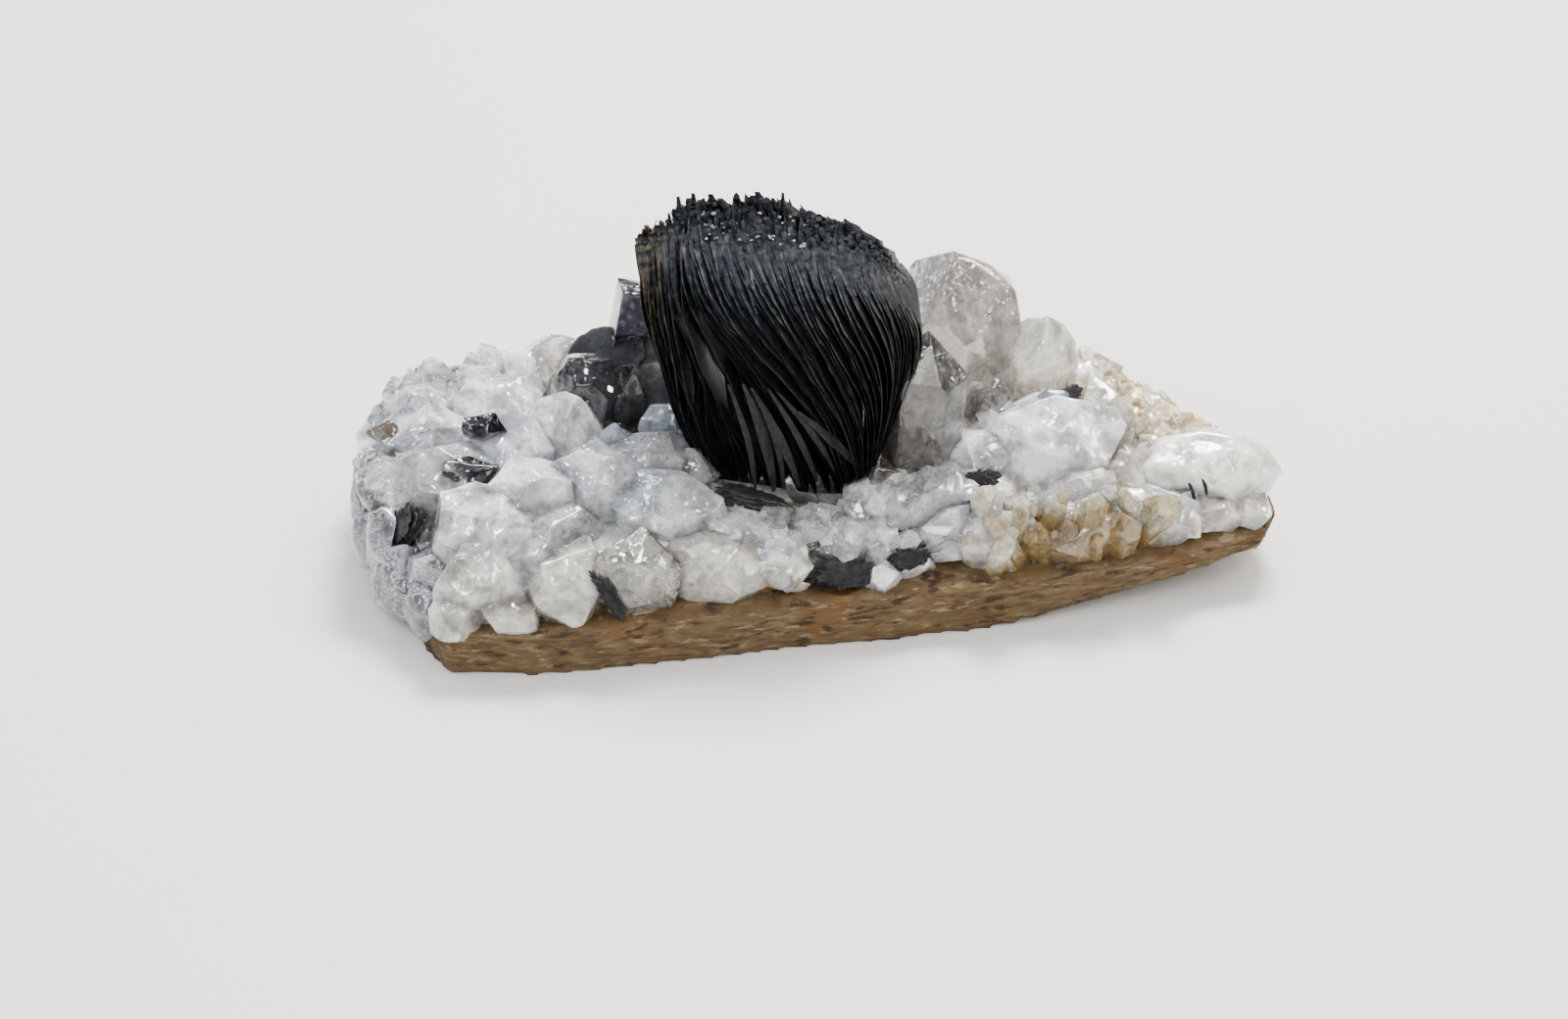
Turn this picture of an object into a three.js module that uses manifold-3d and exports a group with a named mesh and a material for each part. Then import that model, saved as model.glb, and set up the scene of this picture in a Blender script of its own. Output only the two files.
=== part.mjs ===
// Quartz with a hematite rose: a palm-sized mineral specimen, about 88 mm long.
// A thin sawn slab of brown rock carries a crust of intergrown milky, clear and smoky quartz.
// A ball of black hematite blades, an iron rose, stands in the middle of the crust, with a
// smaller rosette behind it on the left and a few loose-looking hematite flakes in the quartz.
//
// Units are millimetres. +X runs along the specimen, +Y to its back and +Z up.
// The origin is on the flat sawn underside, near its middle.

import * as THREE from "three";
import { ConvexGeometry } from "three/addons/geometries/ConvexGeometry.js";
import { mergeVertices } from "three/addons/utils/BufferGeometryUtils.js";
import Module from "manifold-3d";

const wasm = await Module();
wasm.setup();

// Driving dimensions
const GAP = 0.3; // clearance that neighbouring pieces keep
const SLAB_TOP = 4.8; // height of the slab's upper face at x = 0
const SLAB_RISE = 0.015; // how much that face climbs per millimetre of x
const SLAB_OUTLINE = [
  [-32, -19.8], [-24, -19.6], [-15, -18.4], [-6, -16.9], [3.3, -15], [16, -13], [31, -9.2],
  [42, -5.6], [44.2, -1], [43, 4], [36.5, 10], [28, 14.6], [17, 18.6], [5, 20.6], [-10, 21.4],
  [-24, 19.8], [-34, 15.8], [-40, 9.5], [-42.2, 2.7], [-40.6, -4], [-36.6, -11.6],
];
const SAW_STEP = 4.6; // length of one rough step round the slab's edge
const UNDERCUT = { from: 17, degrees: 9.2 }; // the underside climbs to the right from here
const CORE_TOP = 9.4; // the crust is solid quartz up to here

// Small helpers

// A repeatable stream of numbers from 0 to 1.
function randomStream(seed) {
  let state = seed >>> 0;
  return () => {
    state = (state + 0x6d2b79f5) >>> 0;
    let mixed = Math.imul(state ^ (state >>> 15), state | 1);
    mixed ^= mixed + Math.imul(mixed ^ (mixed >>> 7), mixed | 61);
    return ((mixed ^ (mixed >>> 14)) >>> 0) / 4294967296;
  };
}

function solidOf(geometry) {
  const bare = geometry.clone();
  bare.deleteAttribute("normal");
  bare.deleteAttribute("uv");
  const merged = mergeVertices(bare, 1e-4);
  return new wasm.Manifold(
    new wasm.Mesh({
      numProp: 3,
      vertProperties: new Float32Array(merged.attributes.position.array),
      triVerts: new Uint32Array(merged.index.array),
    }),
  );
}

function geometryOf(solid) {
  const { numProp, numVert, vertProperties, triVerts } = solid.getMesh();
  const positions = new Float32Array(numVert * 3);
  for (let i = 0; i < numVert; i++) {
    positions.set(vertProperties.subarray(i * numProp, i * numProp + 3), i * 3);
  }
  const geometry = new THREE.BufferGeometry();
  geometry.setAttribute("position", new THREE.BufferAttribute(positions, 3));
  geometry.setIndex(new THREE.BufferAttribute(new Uint32Array(triVerts), 1));
  geometry.computeVertexNormals();
  return geometry;
}

const joined = (solids) => solids.reduce((sum, next) => sum.add(next));

function placing({ at = [0, 0, 0], turn = [0, 0, 0], size = [1, 1, 1] }) {
  const angles = turn.map(THREE.MathUtils.degToRad);
  return new THREE.Matrix4().compose(
    new THREE.Vector3(...at),
    new THREE.Quaternion().setFromEuler(new THREE.Euler(...angles, "XYZ")),
    new THREE.Vector3(...size),
  );
}

// The corners of the convex body that lies behind every plane.
function cornersInside(planes) {
  const corners = [];
  const hit = new THREE.Vector3();
  for (let i = 0; i < planes.length; i++) {
    for (let j = i + 1; j < planes.length; j++) {
      for (let k = j + 1; k < planes.length; k++) {
        const [a, b, c] = [planes[i], planes[j], planes[k]];
        const bc = new THREE.Vector3().crossVectors(b.normal, c.normal);
        const volume = a.normal.dot(bc);
        if (Math.abs(volume) < 1e-6) continue;
        const ca = new THREE.Vector3().crossVectors(c.normal, a.normal);
        const ab = new THREE.Vector3().crossVectors(a.normal, b.normal);
        hit.set(0, 0, 0);
        hit.addScaledVector(bc, -a.constant);
        hit.addScaledVector(ca, -b.constant);
        hit.addScaledVector(ab, -c.constant);
        hit.divideScalar(volume);
        if (planes.every((p) => p.distanceToPoint(hit) < 1e-6)) corners.push(hit.clone());
      }
    }
  }
  return corners;
}

const planeAt = (normal, distance) => new THREE.Plane(normal.normalize(), -distance);

// A broken lump of quartz: a ball cut by flat faces spread evenly over it, then stretched.
function lump({ at, radii, turn, faces = 9, seed }) {
  const random = randomStream(seed);
  const golden = Math.PI * (3 - Math.sqrt(5));
  const start = random() * 2 * Math.PI;
  const planes = [];
  for (let i = 0; i < faces; i++) {
    const z = 1 - (2 * (i + 0.5)) / faces + (random() - 0.5) * 0.2;
    const around = start + i * golden + (random() - 0.5) * 0.5;
    const flat = Math.sqrt(Math.max(0, 1 - z * z));
    const normal = new THREE.Vector3(flat * Math.cos(around), flat * Math.sin(around), z);
    planes.push(planeAt(normal, 0.84 + 0.14 * random()));
  }
  const corners = cornersInside(planes);
  const matrix = placing({ at, turn, size: radii });
  return solidOf(new ConvexGeometry(corners.map((p) => p.applyMatrix4(matrix))));
}

// A quartz crystal: a six-sided prism whose six or three end faces grew unevenly, so that the
// point is off centre. It stands on its root, along its own +Z.
function crystal({ at, turn, radius, length, ends = 6, seed }) {
  const random = randomStream(seed);
  const lean = THREE.MathUtils.degToRad(51.8); // between an end face's normal and the axis
  const planes = [planeAt(new THREE.Vector3(0, 0, -1), 0)];
  for (let i = 0; i < 6; i++) {
    const around = (i * Math.PI) / 3;
    const side = new THREE.Vector3(Math.cos(around), Math.sin(around), 0);
    const reach = radius * (0.84 + 0.16 * random());
    planes.push(planeAt(side.clone(), reach));
    const shoulder = length - radius * (0.9 + (i % 2) * 0.35 + 0.3 * random());
    if (ends === 3 && i % 2 === 1) continue;
    const end = side.multiplyScalar(Math.sin(lean)).setZ(Math.cos(lean));
    planes.push(planeAt(end, Math.sin(lean) * radius + Math.cos(lean) * shoulder));
  }
  const matrix = placing({ at, turn });
  const corners = cornersInside(planes).map((p) => p.applyMatrix4(matrix));
  return solidOf(new ConvexGeometry(corners));
}

// The slab of rock

// The slab's outline, stepped unevenly as broken rock is, and pushed outwards by grow.
function slabShape(grow) {
  const random = randomStream(7);
  const shape = new THREE.Shape();
  SLAB_OUTLINE.forEach(([x0, y0], i) => {
    const [x1, y1] = SLAB_OUTLINE[(i + 1) % SLAB_OUTLINE.length];
    const steps = Math.max(1, Math.round(Math.hypot(x1 - x0, y1 - y0) / SAW_STEP));
    for (let k = 0; k < steps; k++) {
      const point = new THREE.Vector2(x0, y0).lerp(new THREE.Vector2(x1, y1), k / steps);
      const out = point.clone().normalize();
      point.addScaledVector(out, (random() - 0.5) * 0.7 + grow);
      if (i + k === 0) shape.moveTo(point.x, point.y);
      else shape.lineTo(point.x, point.y);
    }
  });
  return shape;
}

function slab(grow = 0) {
  const walls = 2;
  const height = SLAB_TOP + grow;
  const geometry = new THREE.ExtrudeGeometry(slabShape(grow), {
    depth: height,
    steps: walls,
    bevelEnabled: false,
  });
  const position = geometry.attributes.position;
  for (let i = 0; i < position.count; i++) {
    const [x, y, z] = [position.getX(i), position.getY(i), position.getZ(i)];
    const level = z / height;
    const bulge = 1 + 0.012 * Math.sin(level * Math.PI) * Math.sin(x * 0.9 + y * 1.3);
    position.setXYZ(i, x * bulge, y * bulge, z + level * x * SLAB_RISE);
  }
  const wedge = new THREE.BoxGeometry(60, 80, 20);
  wedge.translate(30, 0, -10 - grow);
  wedge.rotateY(-THREE.MathUtils.degToRad(UNDERCUT.degrees));
  wedge.translate(UNDERCUT.from, 0, 0);
  return solidOf(geometry).subtract(solidOf(wedge));
}

// The quartz crust

// Milky and cloudy lumps, in the places where they show from the front and left.
const LUMPS = [
  // front left: one big blunt mass, three lumps high
  { at: [-27.8, -15.4, 6.6], radii: [5.6, 4.2, 4.6], turn: [0, 10, 10] },
  { at: [-28.6, -11.8, 9.2], radii: [6.2, 5.2, 4.4], turn: [10, 20, 0] },
  { at: [-25.2, -8.6, 11.4], radii: [5.8, 3.8, 3.4], turn: [20, -10, 15] },
  { at: [-21.4, -15, 6.8], radii: [4.6, 3.8, 4], turn: [0, 0, 40] },
  { at: [-22.4, -11.6, 8.8], radii: [4.2, 3.6, 3.6], turn: [30, 0, 20] },
  { at: [-30.2, -17, 5.6], radii: [2.9, 2.5, 3], turn: [0, 0, 0] },
  // the long cloudy ridge that falls to the right in front of the rose
  { at: [-18.4, -6, 11.6], radii: [5.4, 4.8, 3.8], turn: [0, 15, -8] },
  { at: [-12.4, -8.6, 9.8], radii: [6.8, 4.4, 3.8], turn: [0, 14, -14] },
  { at: [-6.2, -10.4, 8.2], radii: [5.2, 3.6, 3.2], turn: [0, 12, -14] },
  { at: [-8.4, -13, 6.8], radii: [6.4, 3.2, 3.2], turn: [0, 0, 8] },
  { at: [-15.2, -14.2, 7.4], radii: [4, 2.9, 3.7], turn: [15, 0, 0] },
  { at: [-2.4, -12.4, 6.8], radii: [3, 2.4, 2.6], turn: [0, 30, 0] },
  // the left end, with its crusty side
  { at: [-35.4, 1.4, 11], radii: [5.2, 5.2, 3.9], turn: [0, -14, 0] },
  { at: [-32.8, -5.4, 11], radii: [4.8, 4.3, 3.8], turn: [25, 0, 20] },
  { at: [-29, 6.4, 12.2], radii: [5.4, 4.8, 3.4], turn: [0, 8, 30] },
  { at: [-27.6, -1.6, 12], radii: [4.4, 3.8, 3.2], turn: [30, 0, 0] },
  { at: [-35.8, 8.2, 11], radii: [3.8, 3.8, 3.2], turn: [0, -20, 0] },
  { at: [-37.2, -3, 9], radii: [3.5, 4.6, 4.2], turn: [0, -30, 0] },
  { at: [-39.8, 2.2, 5.8], radii: [2.8, 5, 4.2], turn: [0, 0, -10] },
  { at: [-37.2, -8.6, 6], radii: [2.6, 4.6, 4.2], turn: [0, 0, 28] },
  { at: [-33, -14, 5.4], radii: [2.4, 3.4, 3.8], turn: [0, 0, 30] },
  { at: [-25.8, 13, 12.2], radii: [3.1, 2.8, 2.6], turn: [0, 20, 0] },
  // between the ridge and the rose
  { at: [-14.4, -3.2, 12], radii: [4.1, 3.3, 3], turn: [0, 0, 20], faces: 12 },
  { at: [-12.2, 2, 12.6], radii: [2.8, 2.6, 2.8], turn: [20, 0, 0] },
  { at: [-10.6, -2.6, 10.8], radii: [2.6, 2.2, 2.2], turn: [0, 40, 0] },
  { at: [-20.2, 5, 14.2], radii: [3.6, 3.4, 4.2], turn: [-10, 0, 0], faces: 12 },
  { at: [-16.6, 4.6, 12.8], radii: [2.1, 2.1, 4.4], turn: [0, 0, 0] },
  // front middle
  { at: [-2.8, -8.4, 8.6], radii: [2.4, 2, 2], turn: [0, 0, 30] },
  { at: [0.8, -8.6, 8], radii: [2.5, 2.1, 2.3], turn: [0, 20, 0] },
  { at: [4.2, -9.4, 7.4], radii: [3.3, 2.7, 2.8], turn: [30, 0, 10] },
  { at: [6.9, -5.6, 9.2], radii: [3.6, 3.2, 2.8], turn: [0, 0, 60] },
  { at: [11.4, -5.4, 9.6], radii: [4.8, 3.3, 3.2], turn: [0, -8, 14] },
  { at: [11.6, -8.8, 7.8], radii: [3.8, 1.6, 1.7], turn: [0, -38, 10] },
  { at: [8.4, -10.6, 6.4], radii: [3.4, 2, 2.2], turn: [0, 0, 10] },
  { at: [17.6, -8.6, 7], radii: [4.2, 3, 3.3], turn: [0, 0, 15] },
  { at: [16.8, -4.8, 9.2], radii: [4.2, 3.2, 3.1], turn: [0, 20, 0] },
  { at: [24.8, -7.4, 6.8], radii: [4.7, 2.9, 3.1], turn: [0, 0, 12] },
  // the big bluish milky crystal on the right, with its lobed left end
  { at: [22.6, 1.4, 11.2], radii: [7.4, 4.8, 4.4], turn: [0, -8, 8], faces: 12 },
  { at: [17, -0.6, 10.8], radii: [3.4, 3.1, 3.3], turn: [0, 25, 0] },
  { at: [27.6, 3.6, 12], radii: [3.5, 3.8, 4.1], turn: [0, 0, 20] },
  { at: [25.2, -3.4, 8.6], radii: [4.6, 3.2, 3.1], turn: [0, 0, 0] },
  { at: [29.6, -0.6, 8.8], radii: [3.4, 3.2, 3.3], turn: [0, 40, 0] },
  // the right end
  { at: [32.4, -4.8, 6.8], radii: [4.2, 3, 3.1], turn: [0, 0, 10] },
  { at: [37.4, -3.4, 6.4], radii: [3.2, 2.6, 2.1], turn: [0, 0, 15] },
  { at: [41, -1.8, 6.4], radii: [2.6, 2.8, 1.9], turn: [0, 0, 0] },
  { at: [36.8, 0.6, 8.8], radii: [7.4, 4.1, 3.8], turn: [0, 4, 0], faces: 18 },
  { at: [32.4, 8.2, 8.6], radii: [4.8, 4.6, 3.6], turn: [0, 15, 0] },
  { at: [36.8, 5.4, 7.8], radii: [3.8, 3.8, 2.9], turn: [0, 20, 0] },
  // behind the rose on the right
  { at: [13.6, 0.6, 11.4], radii: [3, 2.8, 3.4], turn: [0, 0, 20] },
  { at: [15.6, 5.6, 12.4], radii: [3.2, 3.4, 3.8], turn: [0, 0, 50] },
  { at: [26.6, 10.8, 12], radii: [3.5, 3.3, 3.2], turn: [0, 0, 0] },
];

// Crystals with their own points. A turn of zero stands a crystal straight up.
const CRYSTALS = [
  { at: [10.6, -0.4, 8.6], turn: [4, 1, 20], radius: 3.8, length: 15.8 }, // the smoky point
  { at: [15.4, 12.2, 9], turn: [6, -6, 8], radius: 5.6, length: 17.4 }, // the tall back one
  { at: [21.4, 9.4, 9], turn: [4, 12, 25], radius: 3.8, length: 10.4 },
  { at: [-23.4, 3.4, 8.4], turn: [18, 14, 10], radius: 3.7, length: 9.2 },
  { at: [-17.2, 10.8, 10], turn: [2, -4, 12], radius: 2.4, length: 13.6 }, // dark, behind
  { at: [-33.6, 9.8, 8.6], turn: [0, -30, 0], radius: 2.2, length: 7 },
  { at: [14.8, 1.8, 10], turn: [-8, 24, 0], radius: 2.1, length: 8.4 },
  { at: [7.9, -3.4, 8], turn: [24, -16, 0], radius: 1.8, length: 5.6 },
  { at: [-17.6, -1.2, 11.6], turn: [20, 10, 0], radius: 1.6, length: 4.4 },
  { at: [28.8, -8.4, 5.2], turn: [22, 6, 0], radius: 1.5, length: 5.6 },
];

// The crust behind and beside what shows: lumps along the slab's back edge.
function backLumps() {
  const random = randomStream(31);
  const route = new THREE.CatmullRomCurve3(
    [[-38, 8, 8], [-30, 14.5, 9], [-16, 17.5, 9.5], [0, 17.5, 9.5], [14, 15.5, 9.5], [30, 10.5, 8]]
      .map((p) => new THREE.Vector3(...p)),
  );
  const count = 12;
  return Array.from({ length: count }, (_, i) => {
    const at = route.getPointAt(i / (count - 1));
    at.y += (random() - 0.5) * 3;
    at.z += (random() - 0.5) * 2.4;
    const radii = [4.2 + 1.6 * random(), 3.8 + random(), 3.2 + 1.6 * random()];
    return { at: at.toArray(), radii, turn: [0, 0, 90 * random()] };
  });
}

// Short points scattered over the crust, leaning outwards from its middle.
function scatteredPoints() {
  const random = randomStream(53);
  const count = 11;
  const golden = Math.PI * (3 - Math.sqrt(5));
  return Array.from({ length: count }, (_, i) => {
    const around = i * golden;
    const spread = 0.62 + 0.26 * random();
    const [x, y] = [38 * spread * Math.cos(around), 17 * spread * Math.sin(around) + 1];
    const tilt = 14 + 22 * random();
    return {
      at: [x, y, 8.2 + 1.4 * random()],
      turn: [-tilt * Math.sin(around), tilt * Math.cos(around), 60 * random()],
      radius: 1.1 + 0.9 * random(),
      length: 4.6 + 2.6 * random(),
      ends: 3,
    };
  });
}

// Solid quartz under all of the lumps.
function crustCore() {
  const corners = SLAB_OUTLINE.flatMap(([x, y]) => [
    new THREE.Vector3(x * 0.955, y * 0.93, SLAB_TOP + x * SLAB_RISE - 0.5),
    new THREE.Vector3(x * 0.86, y * 0.74, CORE_TOP - Math.max(0, x) * 0.05),
  ]);
  return solidOf(new ConvexGeometry(corners));
}

function quartz() {
  const lumps = [...LUMPS, ...backLumps()].map((entry, i) => lump({ ...entry, seed: 101 + i }));
  const points = [...CRYSTALS, ...scatteredPoints()].map((entry, i) =>
    crystal({ ...entry, seed: 401 + i }),
  );
  return joined([crustCore(), ...lumps, ...points]);
}

// The hematite roses

// A rose is a stack of upright blades that fan out from a narrow foot. Its front edges follow
// seven guide lines, from the left blade to the right one. Each has five points, from foot to
// crown, across and up, and the blades between them follow blends of their two neighbours.
const ROSE = {
  guides: [
    [[-7.3, 8.6], [-9.5, 15.8], [-11.6, 22], [-13.6, 27.2], [-14.2, 31]],
    [[-2.7, 8], [-5.2, 16.4], [-7.8, 22.8], [-10.2, 28.2], [-11.2, 31.8]],
    [[1.2, 8.2], [-1.2, 17.6], [-4.1, 24], [-7, 28.6], [-8.4, 31.3]],
    [[4.1, 8.6], [2.4, 18], [0.1, 24.2], [-2.4, 28.4], [-4.2, 31]],
    [[5.5, 9], [5.4, 18.4], [3.9, 24.2], [2.1, 28], [0.6, 30.4]],
    [[5.9, 9.4], [7.5, 18.6], [8, 23.8], [7.2, 27.2], [5.2, 29.6]],
    [[6.1, 10], [8.6, 17.4], [10.1, 22.4], [10.2, 25.2], [8.6, 27.6]],
  ],
  depths: [5.5, 8.3, 9.6, 9.3, 8, 5], // half the middle blade's depth, from foot to crown
  narrowing: 0.5, // the outer blades are this much shallower
  crownLift: 2.6, // the middle of the crown's back stands above its front by this much
  middle: 1.5, // y of the stack's middle
  blades: 30,
  rows: 5,
  layers: 2,
  seed: 11,
};

const ROSETTE = {
  guides: [
    [[-17.5, 10], [-18.8, 12.2], [-20.4, 13.8], [-21.9, 15.2], [-23, 17]],
    [[-15.6, 10], [-16.9, 13.2], [-18.2, 15.6], [-19.3, 17.8], [-20, 19.8]],
    [[-13.6, 10], [-14.4, 13.6], [-15.3, 16.6], [-16.2, 19], [-16.8, 21]],
    [[-11.8, 10], [-12, 14], [-12.4, 17], [-12.9, 19.4], [-13.4, 21]],
  ],
  depths: [2, 3.8, 4.6, 4, 2.6],
  narrowing: 0.4,
  crownLift: 0.8,
  middle: 8.4,
  blades: 10,
  rows: 4,
  layers: 2,
  seed: 23,
};

// The value at share s, from 0 to 1, along an evenly spaced row of values.
function alongRow(values, s) {
  const place = THREE.MathUtils.clamp(s, 0, 1) * (values.length - 1);
  const i = Math.min(Math.floor(place), values.length - 2);
  return THREE.MathUtils.lerp(values[i], values[i + 1], place - i);
}

// A point of a rose: u across the stack, s up from foot to crown and t from front to back, each
// from 0 to 1. reach is how far out the point stands from the stack's middle plane.
function rosePoint(form, u, s, t, reach = 1) {
  const onGuides = (axis) =>
    alongRow(form.guides.map((guide) => alongRow(guide.map((p) => p[axis]), s)), u);
  const inward = 1 - (2 * u - 1) ** 2;
  const girth = 1 - form.narrowing * (1 - inward);
  const depth = alongRow(form.depths, s) * girth * reach;
  const lift = form.crownLift * inward * t * s ** 3;
  return new THREE.Vector3(onGuides(0), form.middle + (2 * t - 1) * depth, onGuides(1) + lift);
}

// A whole rose is one box, folded to that form. Its columns are in turn the sharp edge of a
// blade and the groove beside it, and no two blades reach quite as far.
function rose(form) {
  const random = randomStream(form.seed);
  const columns = 2 * form.blades;
  const reaches = Array.from({ length: columns + 1 }, (_, i) =>
    i % 2 ? 1.03 - 0.08 * random() : 0.93 - 0.03 * random(),
  );
  const box = new THREE.BoxGeometry(1, 1, 1, columns, form.rows, form.layers);
  const position = box.attributes.position;
  for (let i = 0; i < position.count; i++) {
    const column = Math.round((position.getX(i) + 0.5) * columns);
    const reach = reaches[column];
    const u = (column + (column % 2 ? 0.5 : 0)) / columns;
    const s = (position.getY(i) + 0.5) * Math.min(1, reach + 0.03);
    const point = rosePoint(form, u, s, 0.5 - position.getZ(i), reach);
    position.setXYZ(i, point.x, point.y, point.z);
  }
  return solidOf(box);
}

// Hematite flakes: little books of thin six-sided plates, fused at their middles.
const FLAKES = {
  hematite_flake_front: { at: [3.2, -12.6, 6.2], turn: [70, 0, 8], radius: 3.4, flat: 0.42 },
  hematite_flake_front_right: { at: [9.2, -11.6, 7.2], turn: [70, 24, 8], radius: 2.3, flat: 0.5 },
  hematite_flake_right: { at: [15.4, -5.6, 11.2], turn: [50, -32, 10], radius: 2.4, flat: 0.55 },
  hematite_flake_left: { at: [-18, -16.4, 6.6], turn: [80, 60, 0], radius: 2.3, flat: 0.5 },
  hematite_flake_top: { at: [24, 2.6, 15], turn: [35, 20, 40], radius: 1.8, flat: 0.6 },
  hematite_flake_left_end: { at: [-35.8, -9.8, 9.6], turn: [40, -60, 0], radius: 3, flat: 0.7 },
  hematite_blades_foot: { at: [-5.4, -7.8, 10.8], turn: [8, 12, -6], radius: 3.6, flat: 0.3 },
};

const LEAF = 0.5; // thickness of one plate

function flake({ at, turn, radius, flat }, index) {
  const random = randomStream(71 + index);
  const plates = [-0.5, 0.5].map((step) => {
    const size = radius * (0.86 + 0.14 * random());
    const plate = new THREE.CylinderGeometry(size, size, LEAF, 6);
    plate.rotateX(Math.PI / 2);
    plate.scale(1, flat, 1);
    plate.rotateZ((random() - 0.5) * 0.4);
    plate.rotateX(step * 0.16);
    plate.translate((random() - 0.5) * radius * 0.4, 0, step * LEAF * 0.9);
    plate.applyMatrix4(placing({ at, turn }));
    return solidOf(plate);
  });
  return joined(plates);
}

// The pocket that a flake sits in.
function flakeRoom({ at, turn, radius, flat }) {
  const size = radius * 1.3;
  const pocket = new THREE.CylinderGeometry(size, size, 3.4 * LEAF + 2 * GAP, 6);
  pocket.rotateX(Math.PI / 2);
  pocket.scale(1, flat * 1.1, 1);
  pocket.applyMatrix4(placing({ at, turn }));
  return solidOf(pocket);
}

// Fitting the pieces together

// A closed convex skin round a rose, a little larger than it, to cut its neighbours with.
function skinRound(form) {
  const points = [];
  const middle = rosePoint(form, 0.5, 0.5, 0.5);
  for (const u of [0, 0.33, 0.67, 1]) {
    for (const s of [0, 0.25, 0.5, 0.75, 1]) {
      for (const t of [0, 1]) {
        const point = rosePoint(form, u, s, t, 1.05);
        const out = point.clone().sub(middle).normalize();
        points.push(point.addScaledVector(out, 2 * GAP));
      }
    }
  }
  return solidOf(new ConvexGeometry(points));
}

function everythingBelow(height) {
  const box = new THREE.BoxGeometry(200, 200, 100);
  box.translate(0, 0, height - 50);
  return solidOf(box);
}

const largestBody = (solid) =>
  solid.decompose().reduce((best, next) => (next.volume() > best.volume() ? next : best));

const roseSolid = rose(ROSE);
const roseRoom = skinRound(ROSE);
const rosetteSolid = rose(ROSETTE).subtract(roseRoom);
const rosetteRoom = skinRound(ROSETTE);
const flakeSolids = Object.entries(FLAKES).map(([name, form], i) => ({
  name,
  solid: flake(form, i).subtract(roseRoom),
  room: flakeRoom(form),
}));
const slabSolid = flakeSolids.reduce((sum, { room }) => sum.subtract(room), slab());

const crustRooms = [slab(1.6 * GAP), everythingBelow(0.6), roseRoom, rosetteRoom];
const quartzSolid = [...crustRooms, ...flakeSolids.map(({ room }) => room)].reduce(
  (sum, room) => sum.subtract(room),
  quartz(),
);

// The model

const FINISHES = {
  rock: { color: 0x8a6f4e, roughness: 0.9, metalness: 0 },
  quartz: { color: 0xd9dbe0, roughness: 0.18, metalness: 0 },
  hematite: { color: 0x1b1c20, roughness: 0.3, metalness: 0.85 },
};

function piece(name, solid, finish) {
  const made = new THREE.Mesh(
    geometryOf(largestBody(solid)),
    new THREE.MeshStandardMaterial(FINISHES[finish]),
  );
  made.name = name;
  return made;
}

const specimen = new THREE.Group();
specimen.name = "quartz_with_hematite_rose";
specimen.add(piece("rock_slab", slabSolid, "rock"));
specimen.add(piece("quartz_crust", quartzSolid, "quartz"));
specimen.add(piece("hematite_rose", roseSolid, "hematite"));
specimen.add(piece("hematite_rosette", rosetteSolid, "hematite"));
flakeSolids.forEach(({ name, solid }) => specimen.add(piece(name, solid, "hematite")));

export default specimen;
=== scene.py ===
"""Quartz with a hematite rose: the looks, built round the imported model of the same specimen.

A slab of rusty brown rock carries a crust of milky, clear and smoky quartz. A ball of black
hematite blades, an iron rose, stands in it, with a smaller rosette behind and a few flakes.
Tables are in millimetres, as in the model's source, and MM turns them into metres.
"""

import itertools
import math

import bmesh
import bpy
import numpy as np
from mathutils import Matrix, Vector, noise


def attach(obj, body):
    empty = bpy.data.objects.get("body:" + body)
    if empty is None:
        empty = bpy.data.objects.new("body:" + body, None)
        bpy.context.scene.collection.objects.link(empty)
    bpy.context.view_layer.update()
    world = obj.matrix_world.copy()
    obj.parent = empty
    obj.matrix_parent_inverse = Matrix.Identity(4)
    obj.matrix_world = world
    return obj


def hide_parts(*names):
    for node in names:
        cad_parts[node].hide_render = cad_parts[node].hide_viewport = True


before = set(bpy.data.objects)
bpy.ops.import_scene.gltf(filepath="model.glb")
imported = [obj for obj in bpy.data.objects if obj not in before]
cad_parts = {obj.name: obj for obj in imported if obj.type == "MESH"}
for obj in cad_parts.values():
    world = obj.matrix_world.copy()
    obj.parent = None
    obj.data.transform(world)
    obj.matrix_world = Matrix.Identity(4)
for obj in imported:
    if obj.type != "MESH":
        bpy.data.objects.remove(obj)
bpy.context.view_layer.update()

MM = 0.001
TAU = 2 * math.pi
GOLDEN_TURN = math.pi * (3 - math.sqrt(5))

# The camera stands where the photograph was taken from.
CAMERA_AIM = Vector((-2, -5, 8)) * MM
CAMERA_ELEVATION = math.radians(33)
CAMERA_DISTANCE = 251.1 * MM
CAMERA_HALF_ANGLE = math.radians(16)
SENSOR_WIDTH = 36

# Refraction of quartz
QUARTZ_IOR = 1.544

# Edges sharper than this stay sharp, on the crust, on clear crystals and on thin blades
CRUST_CREASE = math.radians(38)
CRYSTAL_CREASE = math.radians(30)
BLADE_CREASE = math.radians(50)


# Repeatable chance


def random_stream(seed):
    """The same repeatable numbers from 0 to 1 that shape the crystals in the model's source."""
    mask = 0xFFFFFFFF
    state = seed & mask

    def draw():
        nonlocal state
        state = (state + 0x6D2B79F5) & mask
        mixed = ((state ^ (state >> 15)) * (state | 1)) & mask
        mixed ^= (mixed + (((mixed ^ (mixed >> 7)) * (mixed | 61)) & mask)) & mask
        return ((mixed ^ (mixed >> 14)) & mask) / (mask + 1)

    return draw


# Meshes


def link(name, mesh):
    made = bpy.data.objects.new(name, mesh)
    bpy.context.scene.collection.objects.link(made)
    return made


def mesh_of(name, points, faces):
    mesh = bpy.data.meshes.new(name)
    mesh.from_pydata([tuple(p) for p in points], [], faces)
    mesh.validate()
    mesh.update()
    return mesh


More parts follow.
